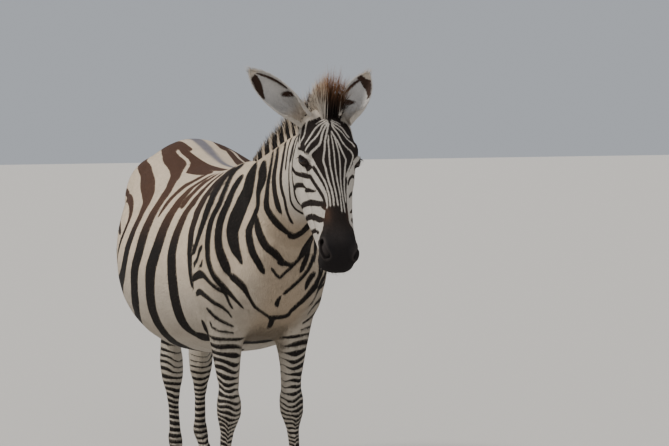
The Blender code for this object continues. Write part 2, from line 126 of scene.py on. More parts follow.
def applyModifiers(piece):
    depsgraph = bpy.context.evaluated_depsgraph_get()
    mesh = bpy.data.meshes.new_from_object(piece.evaluated_get(depsgraph))
    piece.modifiers.clear()
    old = piece.data
    piece.data = mesh
    bpy.data.meshes.remove(old)


def copyOfNode(name, grow=0.0):
    # a node's mesh with its doubles merged, swollen a little along its normals
    bm = bmesh.new()
    bm.from_mesh(bpy.data.objects[name].data)
    bmesh.ops.remove_doubles(bm, verts=bm.verts, dist=0.00001)
    bm.normal_update()
    if grow:
        for vertex, normal in [(vertex, vertex.normal.copy()) for vertex in bm.verts]:
            vertex.co += normal * grow
    return bm


def middleOf(name):
    low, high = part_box(name)
    return (Vector(low) + Vector(high)) / 2


def smooth01(value, low, high):
    t = np.clip((value - low) / (high - low), 0.0, 1.0)
    return t * t * (3 - 2 * t)


def places(mesh):
    found = np.empty(len(mesh.vertices) * 3)
    mesh.vertices.foreach_get("co", found)
    return found.reshape(-1, 3)


def normalsOf(mesh):
    found = np.empty(len(mesh.vertices) * 3)
    mesh.vertex_normals.foreach_get("vector", found)
    return found.reshape(-1, 3)


def setPlaces(mesh, where):
    mesh.vertices.foreach_set("co", where.ravel())
    mesh.update()


def setNumbers(mesh, name, values):
    found = mesh.attributes.new(name, "FLOAT", "POINT")
    found.data.foreach_set("value", np.ascontiguousarray(values, np.float32))


def setColours(mesh, name, colours):
    found = mesh.attributes.new(name, "FLOAT_COLOR", "POINT")
    full = np.ones((len(colours), 4), np.float32)
    full[:, :3] = colours
    found.data.foreach_set("color", full.ravel())


def setHair(mesh, light, dark):
    setColours(mesh, "lightHair", light)
    setColours(mesh, "darkHair", dark)


def smoothFaces(piece):
    piece.data.polygons.foreach_set("use_smooth", np.ones(len(piece.data.polygons), bool))
    piece.data.update()


# materials

def plainMaterial(name, colour, roughness):
    material = bpy.data.materials.new(name)
    material.use_nodes = True
    shader = material.node_tree.nodes["Principled BSDF"]
    shader.inputs["Base Color"].default_value = (*colour, 1)
    shader.inputs["Roughness"].default_value = roughness
    return material


def attributeNode(tree, name):
    made = tree.nodes.new("ShaderNodeAttribute")
    made.attribute_name = name
    return made


def noiseNode(tree, scale, detail=2.0, stretch=(1, 1, 1)):
    # noise on the piece's own coordinates, squeezed by stretch
    coordinates = tree.nodes.new("ShaderNodeTexCoord")
    mapping = tree.nodes.new("ShaderNodeMapping")
    mapping.inputs["Scale"].default_value = stretch
    noise = tree.nodes.new("ShaderNodeTexNoise")
    noise.inputs["Scale"].default_value = scale
    noise.inputs["Detail"].default_value = detail
    tree.links.new(coordinates.outputs["Object"], mapping.inputs["Vector"])
    tree.links.new(mapping.outputs["Vector"], noise.inputs["Vector"])
    return noise


def mathNode(tree, operation, first, second=None, third=None):
    made = tree.nodes.new("ShaderNodeMath")
    made.operation = operation
    for socket, value in zip(made.inputs, (first, second, third)):
        if value is None:
            continue
        if isinstance(value, (int, float)):
            socket.default_value = value
        else:
            tree.links.new(value, socket)
    return made.outputs[0]


def mixColours(tree, factor, first, second):
    made = tree.nodes.new("ShaderNodeMix")
    made.data_type = "RGBA"
    for socket, value in ((made.inputs[0], factor), (made.inputs[6], first), (made.inputs[7], second)):
        if isinstance(value, (int, float)):
            socket.default_value = value
        elif isinstance(value, tuple):
            socket.default_value = (*value, 1)
        else:
            tree.links.new(value, socket)
    return made.outputs[2]


def scaleColour(tree, colour, factor):
    made = tree.nodes.new("ShaderNodeVectorMath")
    made.operation = "SCALE"
    tree.links.new(colour, made.inputs[0])
    tree.links.new(factor, made.inputs["Scale"])
    return made.outputs[0]


bandNames = ("bandPhase", "bandSpacing", "bandWidth", "bandShare")
hairGrain = {
    "edge": 160,  # how fine the raggedness of the stripes' edges is
    "sharp": 480.0,  # the edges are about 2 mm wide
    "hairs": 420,
    "hairStretch": (1, 0.35, 0.55),
    "blotches": 26,
    "blotchDepth": 0.34,
    "blotchBase": 0.83,
}


def makeMarkingsGroup():
    # mixes the light and the dark hair where the mark says, with a ragged edge and fine hair tone
    group = bpy.data.node_groups.new("striped_hair", "ShaderNodeTree")
    for name in ("Ragged", "Streak"):
        group.interface.new_socket(name=name, in_out="INPUT", socket_type="NodeSocketFloat")
    group.interface.new_socket(name="Colour", in_out="OUTPUT", socket_type="NodeSocketColor")
    group.interface.new_socket(name="Height", in_out="OUTPUT", socket_type="NodeSocketFloat")
    source = group.nodes.new("NodeGroupInput")
    result = group.nodes.new("NodeGroupOutput")
    mark = attributeNode(group, "mark").outputs["Fac"]
    light = attributeNode(group, "lightHair").outputs["Color"]
    dark = attributeNode(group, "darkHair").outputs["Color"]
    # the skin's bands down the legs are finer than its mesh, so their edges are worked out here
    phase, spacing, width, share = (attributeNode(group, name).outputs["Fac"] for name in bandNames)
    away = mathNode(group, "PINGPONG", phase, 0.5)
    band = mathNode(group, "MULTIPLY", mathNode(group, "SUBTRACT", width, away), spacing)
    bandless = mathNode(group, "LESS_THAN", share, 0.0001)
    band = mathNode(group, "SUBTRACT", band, mathNode(group, "MULTIPLY", bandless, -lightMark))
    edge = noiseNode(group, hairGrain["edge"], 3.0).outputs["Fac"]
    wander = mathNode(group, "MULTIPLY", mathNode(group, "SUBTRACT", edge, 0.5), source.outputs["Ragged"])
    level = mathNode(group, "ADD", mathNode(group, "MAXIMUM", mark, band), wander)
    spread = mathNode(group, "MULTIPLY_ADD", level, hairGrain["sharp"], 0.5)
    share = mathNode(group, "MINIMUM", mathNode(group, "MAXIMUM", spread, 0.0), 1.0)
    mixed = mixColours(group, share, light, dark)
    hairs = noiseNode(group, hairGrain["hairs"], 3.0, hairGrain["hairStretch"]).outputs["Fac"]
    blotch = noiseNode(group, hairGrain["blotches"], 3.0).outputs["Fac"]
    blotch = mathNode(group, "MULTIPLY_ADD", blotch, hairGrain["blotchDepth"], hairGrain["blotchBase"])
    streak = mathNode(group, "SUBTRACT", hairs, 0.5)
    shade = mathNode(group, "MULTIPLY_ADD", streak, source.outputs["Streak"], 1.0)
    shade = mathNode(group, "MULTIPLY", shade, blotch)
    group.links.new(scaleColour(group, mixed, shade), result.inputs["Colour"])
    group.links.new(hairs, result.inputs["Height"])
    return group


coatLooks = {
    # how far the stripes' edges wander in metres, and how much single hairs vary
    "coat_skin": {"ragged": 0.004, "streak": 0.5, "roughness": 0.75, "bump": 0.5},
    "coat_tufts": {"ragged": 0.0, "streak": 0.35, "roughness": 0.7, "bump": 0.2},
}


def coatMaterial(name, group):
    look = coatLooks[name]
    material = bpy.data.materials.new(name)
    material.use_nodes = True
    tree = material.node_tree
    shader = tree.nodes["Principled BSDF"]
    striped = tree.nodes.new("ShaderNodeGroup")
    striped.node_tree = group
    striped.inputs["Ragged"].default_value = look["ragged"]
    striped.inputs["Streak"].default_value = look["streak"]
    tree.links.new(striped.outputs["Colour"], shader.inputs["Base Color"])
    relief = tree.nodes.new("ShaderNodeBump")
    relief.inputs["Strength"].default_value = look["bump"]
    relief.inputs["Distance"].default_value = 0.002
    tree.links.new(striped.outputs["Height"], relief.inputs["Height"])
    tree.links.new(relief.outputs["Normal"], shader.inputs["Normal"])
    shader.inputs["Roughness"].default_value = look["roughness"]
    shader.inputs["Specular IOR Level"].default_value = 0.14
    return material


# the head's own frame: side to her left, along from poll to lips, up out of the forehead

head = {
    "pitch": 66,
    "yaw": -7,
    "roll": 6,
    "eye": (0.085, 0.152, -0.050),
    "eyeRadius": 0.024,
    "axisUp": -0.075,  # the line inside the head that the face's angles are measured round
}


def headFrame():
    turn = (
        Matrix.Rotation(math.radians(head["yaw"]), 3, "Z")
        @ Matrix.Rotation(math.radians(head["pitch"]), 3, "X")
        @ Matrix.Rotation(math.radians(head["roll"]), 3, "Y")
        @ Matrix.Diagonal((1, -1, 1))
    )
    between = (middleOf("eye_left") + middleOf("eye_right")) / 2
    _, along, up = head["eye"]
    return Matrix.Translation(between - turn @ Vector((0, along, up))) @ turn.to_4x4()


headToWorld = headFrame()
worldToHead = headToWorld.inverted()


def toHead(where):
    matrix = np.array(worldToHead)
    return where @ matrix[:3, :3].T + matrix[:3, 3]


def fromHead(where):
    matrix = np.array(headToWorld)
    return where @ matrix[:3, :3].T + matrix[:3, 3]


# the skin

skinForm = {
    "flesh": [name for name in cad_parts
              if name in ("head", "neck", "trunk", "tail") or "leg_" in name],
    "fineVoxel": 0.0045,
    "plainVoxel": 0.0118,
    "coatDepth": 0.003,
    "softBody": 90,  # turns of smoothing
    "swell": 0.0004,  # so that nodes that only touch fuse
}


def headWeight(where):
    # 0 on the neck and body, 1 on the head
    local = toHead(where)
    ahead = smooth01(local[:, 1], -0.06, 0.0)
    return ahead * (local[:, 2] > -0.31) * (where[:, 1] < -0.52)


def legWeight(where):
    return smooth01(-where[:, 2], -0.68, -0.54) * clearOfBelly(where)


def weigh(piece, name, weights):
    group = piece.vertex_groups.new(name=name)
    levels = 20
    steps = np.round(np.clip(weights, 0, 1) * levels).astype(int)
    for step in np.unique(steps):
        group.add(np.nonzero(steps == step)[0].tolist(), float(step) / levels, "REPLACE")


def remesh(piece, voxel):
    fuse = piece.modifiers.new("fuse", "REMESH")
    fuse.mode = "VOXEL"
    fuse.voxel_size = voxel
    applyModifiers(piece)


def treeOf(mesh):
    corners = [vertex.co for vertex in mesh.vertices]
    return BVHTree.FromPolygons(corners, [face.vertices for face in mesh.polygons])


def settle(piece, tree, inward):
    # lays every vertex on the fine form, sunk in by the coat's depth
    where = places(piece.data)
    for i, place in enumerate(where):
        found, normal, _, _ = tree.find_nearest(Vector(place))
        where[i] = found - normal * inward
    setPlaces(piece.data, where)


def makeSkin():
    # a fine smoothed form gives the shape, and a plainer mesh is refined by region and laid on it
    whole = bmesh.new()
    for name in skinForm["flesh"] + ["eye_left", "eye_right"]:
        part = copyOfNode(name, skinForm["swell"] if name in skinForm["flesh"] else 0.0)
        mesh = bpy.data.meshes.new("part")
        part.to_mesh(mesh)
        part.free()
        whole.from_mesh(mesh)
        bpy.data.meshes.remove(mesh)
    skin = newPiece("skin", whole)
    remesh(skin, skinForm["fineVoxel"])
    where = places(skin.data)
    fine = np.maximum(headWeight(where), legWeight(where))
    weigh(skin, "soft", 1.0 - 0.9 * fine)
    soften = skin.modifiers.new("soften", "SMOOTH")
    soften.factor = 0.5
    soften.iterations = skinForm["softBody"]
    soften.vertex_group = "soft"
    applyModifiers(skin)
    skin.vertex_groups.clear()
    form = treeOf(skin.data)
    print("form made:", len(skin.data.polygons))
    remesh(skin, skinForm["plainVoxel"])
    triangulate(skin)
    unwrap(skin)
    for near in refinements:
        where = places(skin.data)
        refine(skin, near(where, toHead(where)))
        settle(skin, form, 0.0)
    settle(skin, form, skinForm["coatDepth"])
    print("skin refined:", len(skin.data.polygons))
    return skin


def triangulate(piece):
    bm = bmesh.new()
    bm.from_mesh(piece.data)
    bmesh.ops.triangulate(bm, faces=bm.faces)
    bm.to_mesh(piece.data)
    bm.free()


def nearNeck(where, _):
    # the head, the neck and the breast
    return (where[:, 1] < -0.30) & (where[:, 2] > 0.70)


def nearFace(where, local):
    # the front of the face, and the muzzle
    face = (np.abs(faceAngles(local)) < 66) & (local[:, 1] > 0) & (local[:, 1] < 0.37)
    muzzle = (local[:, 1] > 0.40) & (np.abs(local[:, 0]) > 0.015)
    return (face | muzzle) & (local[:, 2] > -0.14) & (where[:, 1] < -0.6)


def nearEyes(where):
    away = [np.linalg.norm(where - np.array(middleOf("eye_" + side)), axis=1) for side in sides]
    return np.minimum(*away) < 0.031


def roundNostrils(local, reach, aside):
    # how far from the nostrils' middles, and how far out from the head's middle
    away = np.hypot(local[:, 1] - nostril["middle"][0], local[:, 2] - nostril["middle"][1])
    return (away < reach) & (np.abs(local[:, 0]) > aside)


def nearSlits(where, local):
    # the lid margins and the nostrils
    return nearEyes(where) | roundNostrils(local, 0.043, 0.03)


refinements = (nearNeck, nearFace, nearSlits)  # each asks by places in the world and in the head


def refine(piece, chosen):
    # splits the faces whose corners are all chosen
    bm = bmesh.new()
    bm.from_mesh(piece.data)
    bm.verts.ensure_lookup_table()
    faces = [face for face in bm.faces if all(chosen[vertex.index] for vertex in face.verts)]
    edges = list({edge for face in faces for edge in face.edges})
    bmesh.ops.subdivide_edges(bm, edges=edges, cuts=1, use_grid_fill=True)
    bmesh.ops.triangulate(bm, faces=[face for face in bm.faces if len(face.verts) > 3])
    bm.to_mesh(piece.data)
    bm.free()


def unwrap(piece):
    for other in bpy.context.selected_objects:
        other.select_set(False)
    piece.data.uv_layers.new(name="OFBake")
    bpy.context.view_layer.objects.active = piece
    piece.select_set(True)
    bpy.ops.object.mode_set(mode="EDIT")
    bpy.ops.mesh.select_all(action="SELECT")
    bpy.ops.uv.smart_project(angle_limit=math.radians(66), island_margin=0.002)
    bpy.ops.object.mode_set(mode="OBJECT")
    piece.select_set(False)


# shaping the face on the skin

def swell(where, normals, local, centre, radii, height):
    # raises the skin along its normals round a place in the head, on both sides
    for sign in (1, -1) if centre[0] else (1,):
        away = (local - np.array((sign * centre[0], centre[1], centre[2]))) / np.array(radii)
        where += normals * (height * np.exp(-np.sum(away**2, axis=1)))[:, None]


def crease(where, normals, local, points, width, depth):
    # presses a groove along a line of places in the head, on both sides
    for sign in (1, -1):
        line = np.array(points, float) * (sign, 1, 1)
        nearest = np.full(len(local), 9.0)
        for start, end in zip(line, line[1:]):
            way = end - start
            t = np.clip((local - start) @ way / (way @ way), 0, 1)
            nearest = np.minimum(nearest, np.linalg.norm(local - start - t[:, None] * way, axis=1))
        where -= normals * (depth * np.exp(-((nearest / width) ** 2)))[:, None]


faceForms = [
    # what, place (side, along, up), reach, height
    ("brow", (0.074, 0.118, -0.018), (0.020, 0.034, 0.020), 0.0045),
    ("hollow over the eye", (0.060, 0.075, -0.014), (0.018, 0.024, 0.018), -0.0045),
    ("cheekbone", (0.084, 0.205, -0.080), (0.018, 0.040, 0.012), 0.0050),
    ("cheekbone ahead", (0.072, 0.265, -0.084), (0.016, 0.036, 0.010), 0.0040),
    ("nose bone", (0.0, 0.300, 0.0), (0.030, 0.120, 0.030), 0.0030),
    ("beside the nose bone", (0.046, 0.330, -0.020), (0.014, 0.080, 0.020), -0.0030),
    ("upper lip", (0.030, 0.512, -0.086), (0.030, 0.020, 0.020), 0.0030),
    ("lower lip", (0.0, 0.505, -0.132), (0.034, 0.016, 0.012), 0.0040),
    ("behind the mouth", (0.062, 0.405, -0.105), (0.020, 0.030, 0.020), -0.0030),
    ("nostril rim", (0.054, 0.470, -0.030), (0.016, 0.030, 0.016), 0.0060),
    ("false nostril", (0.050, 0.425, -0.028), (0.012, 0.026, 0.012), 0.0030),
    ("cheek muscle", (0.078, 0.115, -0.165), (0.040, 0.075, 0.065), 0.0075),
    ("behind the jaw", (0.080, -0.010, -0.150), (0.050, 0.022, 0.080), -0.0080),
    ("under the cheekbone", (0.070, 0.290, -0.120), (0.030, 0.060, 0.022), -0.0040),
    ("poll corner", (0.046, 0.0, -0.004), (0.028, 0.032, 0.030), -0.012),
    ("chin", (0.0, 0.478, -0.150), (0.030, 0.020, 0.016), 0.0060),
    ("chin groove", (0.0, 0.440, -0.150), (0.034, 0.014, 0.020), -0.0045),
]
mouth = {
    "line": ((0.062, 0.428, -0.112), (0.052, 0.465, -0.116), (0.036, 0.500, -0.116), (0.016, 0.526, -0.112),
             (0, 0.532, -0.110)),
    "lineWidth": 0.0032,
    "lineDepth": 0.0055,
    "folds": (
        ((0.064, 0.418, -0.098), (0.064, 0.412, -0.112), (0.060, 0.410, -0.126)),
        ((0.066, 0.404, -0.094), (0.066, 0.398, -0.110), (0.061, 0.396, -0.126)),
    ),
    "foldWidth": 0.0030,
    "foldDepth": 0.0016,
}
nostril = {
    "middle": (0.470, -0.036),  # along and up
    "top": (0.062, 0.447, -0.043),
    "bottom": (0.055, 0.502, -0.027),
    "bow": (0.006, 0, 0.004),
    "width": 0.0110,
    "depth": 0.020,
    "way": (-0.62, -0.22, -0.70),
}


def nostrilAway(local):
    # distance from the nearer nostril's slit, a bow between its two ends
    top, bottom = np.array(nostril["top"]), np.array(nostril["bottom"])
    way = bottom - top
    folded = local * (0, 1, 1) + np.abs(local) * (1, 0, 0)
    t = np.clip((folded - top) @ way / (way @ way), 0, 1)
    bow = np.sin(t * np.pi)[:, None] * np.array(nostril["bow"])
    return np.linalg.norm(folded - top - t[:, None] * way - bow, axis=1)


def shapeFace(skin):
    where = places(skin.data)
    onHead = headWeight(where) > 0
    normals = normalsOf(skin.data)[onHead]
    here = where[onHead]
    local = toHead(here)
    for _, centre, radii, height in faceForms:
        swell(here, normals, local, centre, radii, height)
    crease(here, normals, local, mouth["line"], mouth["lineWidth"], mouth["lineDepth"])
    for fold in mouth["folds"]:
        crease(here, normals, local, fold, mouth["foldWidth"], mouth["foldDepth"])
    local = toHead(here)
    share = 1 - smooth01(nostrilAway(local), nostril["width"] * 0.55, nostril["width"] * 1.25)
    way = np.array(nostril["way"]) * np.where(local[:, :1] > 0, 1, (-1, 1, 1))
    local += share[:, None] * nostril["depth"] * way
    here = fromHead(local)
    where[onHead] = here
    setPlaces(skin.data, where)


eyeForm = {
    "looks": (0.86, 0.28, 0.43),  # out of the head, in (side, along, up)
    "long": (-0.34, 0.74, 0.58),  # from the rear corner to the corner by the nose
    "halfLong": 0.0205,
    "halfUp": 0.0115,
    "halfDown": 0.0092,
    "lid": 0.0028,
    "reach": 0.036,
    "folds": (  # how far round the almond, width, depth
        (1.62, 0.10, 0.0020),
        (2.05, 0.12, 0.0012),
    ),
    "lowerFold": (1.7, 0.13, 0.0012),
}


def eyeAxes(sign):
    # the way the eye looks, its long way and its upward way, in the world
    flip = Vector((sign, 1, 1))
    turn = headToWorld.to_3x3()
    looks = (turn @ (Vector(eyeForm["looks"]) * flip)).normalized()
    long = turn @ (Vector(eyeForm["long"]) * flip)
    long = (long - looks * long.dot(looks)).normalized()
    upward = looks.cross(long)
    if upward.z < 0:
        upward = -upward
    return np.array(looks), np.array(long), np.array(upward)


def eyePlaces(where, side):
    # distance from the ball's middle, angle from where it looks, and the arc lengths across and above
    centre = np.array(middleOf("eye_" + side))
    looks, long, upward = eyeAxes(sides[side])
    away = where - centre
    far = np.maximum(np.linalg.norm(away, axis=1), 1e-9)
    way = away / far[:, None]
    outward = np.clip(way @ looks, -1, 1)
    tilt = np.arccos(outward)
    flat = np.maximum(np.sqrt(1 - outward**2), 1e-6)
    across = tilt * (way @ long) / flat * head["eyeRadius"]
    above = tilt * (way @ upward) / flat * head["eyeRadius"]
    tall = np.where(above > 0, eyeForm["halfUp"], eyeForm["halfDown"])
    almond = np.sqrt((across / eyeForm["halfLong"]) ** 2 + (above / tall) ** 2)
    return centre, far, way, tilt, across, above, almond


def lidFold(almond, place, width, depth):
    return depth * np.exp(-(((almond - place) / width) ** 2))


def shapeEyes(skin):
    # lids lie on the ball round an almond opening, and the skin dives under the ball inside it
    where = places(skin.data)
    radius = head["eyeRadius"]
    for side in sides:
        centre, far, way, tilt, _, above, almond = eyePlaces(where, side)
        near = (far < eyeForm["reach"] + 0.012) & (tilt < 1.45)
        inside = radius - 0.006
        upper = smooth01(above, -0.004, 0.006)
        margin = radius + eyeForm["lid"] * (0.7 + 0.6 * upper)
        ball = inside + (margin - inside) * smooth01(almond, 0.90, 1.05)
        ball += 0.0022 * smooth01(almond, 1.05, 1.35) * upper
        fold = np.zeros(len(where))
        for form in eyeForm["folds"]:
            fold += lidFold(almond, *form) * upper
        fold += lidFold(almond, *eyeForm["lowerFold"]) * (1 - upper)
        share = smooth01(almond, 1.3, 2.5)
        depth = ball * (1 - share) + far * share - fold
        blend = 1 - smooth01(far, eyeForm["reach"] - 0.006, eyeForm["reach"] + 0.010)
        final = far + (depth - far) * np.where(almond < 1.3, 1.0, blend)
        where[near] = (centre + way * final[:, None])[near]
    setPlaces(skin.data, where)


# stripes: strokes of hair dropped on the skin from charts drawn round the body

root2 = math.sqrt(0.5)


def chartRay(chart, u, v, sign):
    # where a chart's place starts from and which way it falls; sign -1 is her right
    if chart == "flank":
        return Vector((sign * 2, u, v)), Vector((-sign, 0, 0))
    if chart == "quarter":
        # the neck bends to her left, so the left side's strokes follow it
        u -= 0.286 * max(0, v - 1.06) * (sign > 0)
        start = Vector((-sign * (root2 * u - 2 * root2), -root2 * u - 2 * root2, v))
        return start, Vector((-sign * root2, root2, 0))
    if chart == "front":
        return Vector((-sign * u, -0.38, v)), Vector((0, -1, 0))
    if chart == "top":
        return Vector((-sign * u, v, 2)), Vector((0, 0, -1))
    if chart == "rear":
        return Vector((-sign * u, 2, v)), Vector((0, -1, 0))
    if chart == "below":
        return Vector((-sign * u, v, 0.3)), Vector((0, 0, 1))
    angle = math.radians(-sign * u)
    inner = Vector((0, v, head["axisUp"]))
    return headToWorld @ inner, headToWorld.to_3x3() @ Vector((math.sin(angle), 0, math.cos(angle)))


chartAxes = {
    # the ways that u and v run, for her right side
    "flank": ((0, 1, 0), (0, 0, 1)),
    "quarter": ((root2, -root2, 0), (0, 0, 1)),
    "front": ((1, 0, 0), (0, 0, 1)),
    "top": ((1, 0, 0), (0, 1, 0)),
    "rear": ((1, 0, 0), (0, 0, 1)),
    "below": ((1, 0, 0), (0, 1, 0)),
}


def throughPoints(points, step):
    # a smooth line through points of (u, v, radius)
    points = [np.array(point, float) for point in points]
    ends = [points[0]] + points + [points[-1]]
    line = []
    for before, start, end, after in zip(ends, ends[1:], ends[2:], ends[3:]):
        count = max(2, int(math.dist(start[:2], end[:2]) / step))
        square = 2 * before - 5 * start + 4 * end - after
        cube = 3 * start - before - 3 * end + after
        for t in np.arange(count) / count:
            line.append(0.5 * (2 * start + (end - before) * t + square * t**2 + cube * t**3))
    line.append(points[-1])
    return line


def withRadii(points):
    # fills in radii that a stroke leaves out, in millimetres, and thins both ends
    known = [(i, point[2]) for i, point in enumerate(points) if len(point) > 2]
    index, radii = [i for i, _ in known], [radius for _, radius in known]
    return [(point[0], point[1], np.interp(i, index, radii) / 1000) for i, point in enumerate(points)]


strokeForm = {
    "faceDegree": 0.0017,  # metres round the face
    "faceStep": 0.0014,
    "step": 0.003,
    "beyond": {"face": 0.165, "front": 0.35},  # hits farther off lie on another part of the body
    "widening": 2.4,
    "bentWidening": 1.2,  # the left side of the neck is bent, and foreshortens the chart
    "bentRadii": ((1.0, 1.22), (1.0, 0.58)),
}


def dropStroke(tree, chart, points, sign):
    # the stroke on the skin; where the skin slopes away from the chart it is widened to look the same there
    onFace = chart == "face"
    arc = strokeForm["faceDegree"] if onFace else 1.0
    line = [(u * arc, v, radius) for u, v, radius in withRadii(points)]
    line = throughPoints(line, strokeForm["faceStep"] if onFace else strokeForm["step"])
    bent = chart == "quarter" and sign > 0
    found = []
    for before, (u, v, radius), after in zip([line[0]] + line, line, line[1:] + [line[-1]]):
        start, way = chartRay(chart, u / arc, v, sign)
        hit, normal, _, far = tree.ray_cast(start, way)
        if hit is None or far > strokeForm["beyond"].get(chart, 9) or onFace and normal.dot(way) < 0.25:
            continue
        if not onFace:
            run = Vector(after[:2] - before[:2]).normalized()
            first, second = (Vector(axis) for axis in chartAxes[chart])
            across = second * run.x - first * run.y
            across.x *= -sign
            slope = normal.dot(across) / min(-0.3, normal.dot(way))
            most = strokeForm["bentWidening" if bent else "widening"]
            radius *= min(math.sqrt(1 + slope * slope), most)
        if bent:
            radius *= np.interp(v, *strokeForm["bentRadii"])
        found.append((*hit, radius))
    found = np.array(found)
    if len(found) > 2:
        # both ends taper
        lengths = np.linalg.norm(np.diff(found[:, :3], axis=0), axis=1)
        steps = np.concatenate(((0,), np.cumsum(lengths)))
        ends = np.minimum(steps, steps[-1] - steps)
        found[:, 3] *= np.sqrt(np.clip((ends + 0.25 * found[:, 3]) / (1.6 * found[:, 3]), 0, 1))
    return found


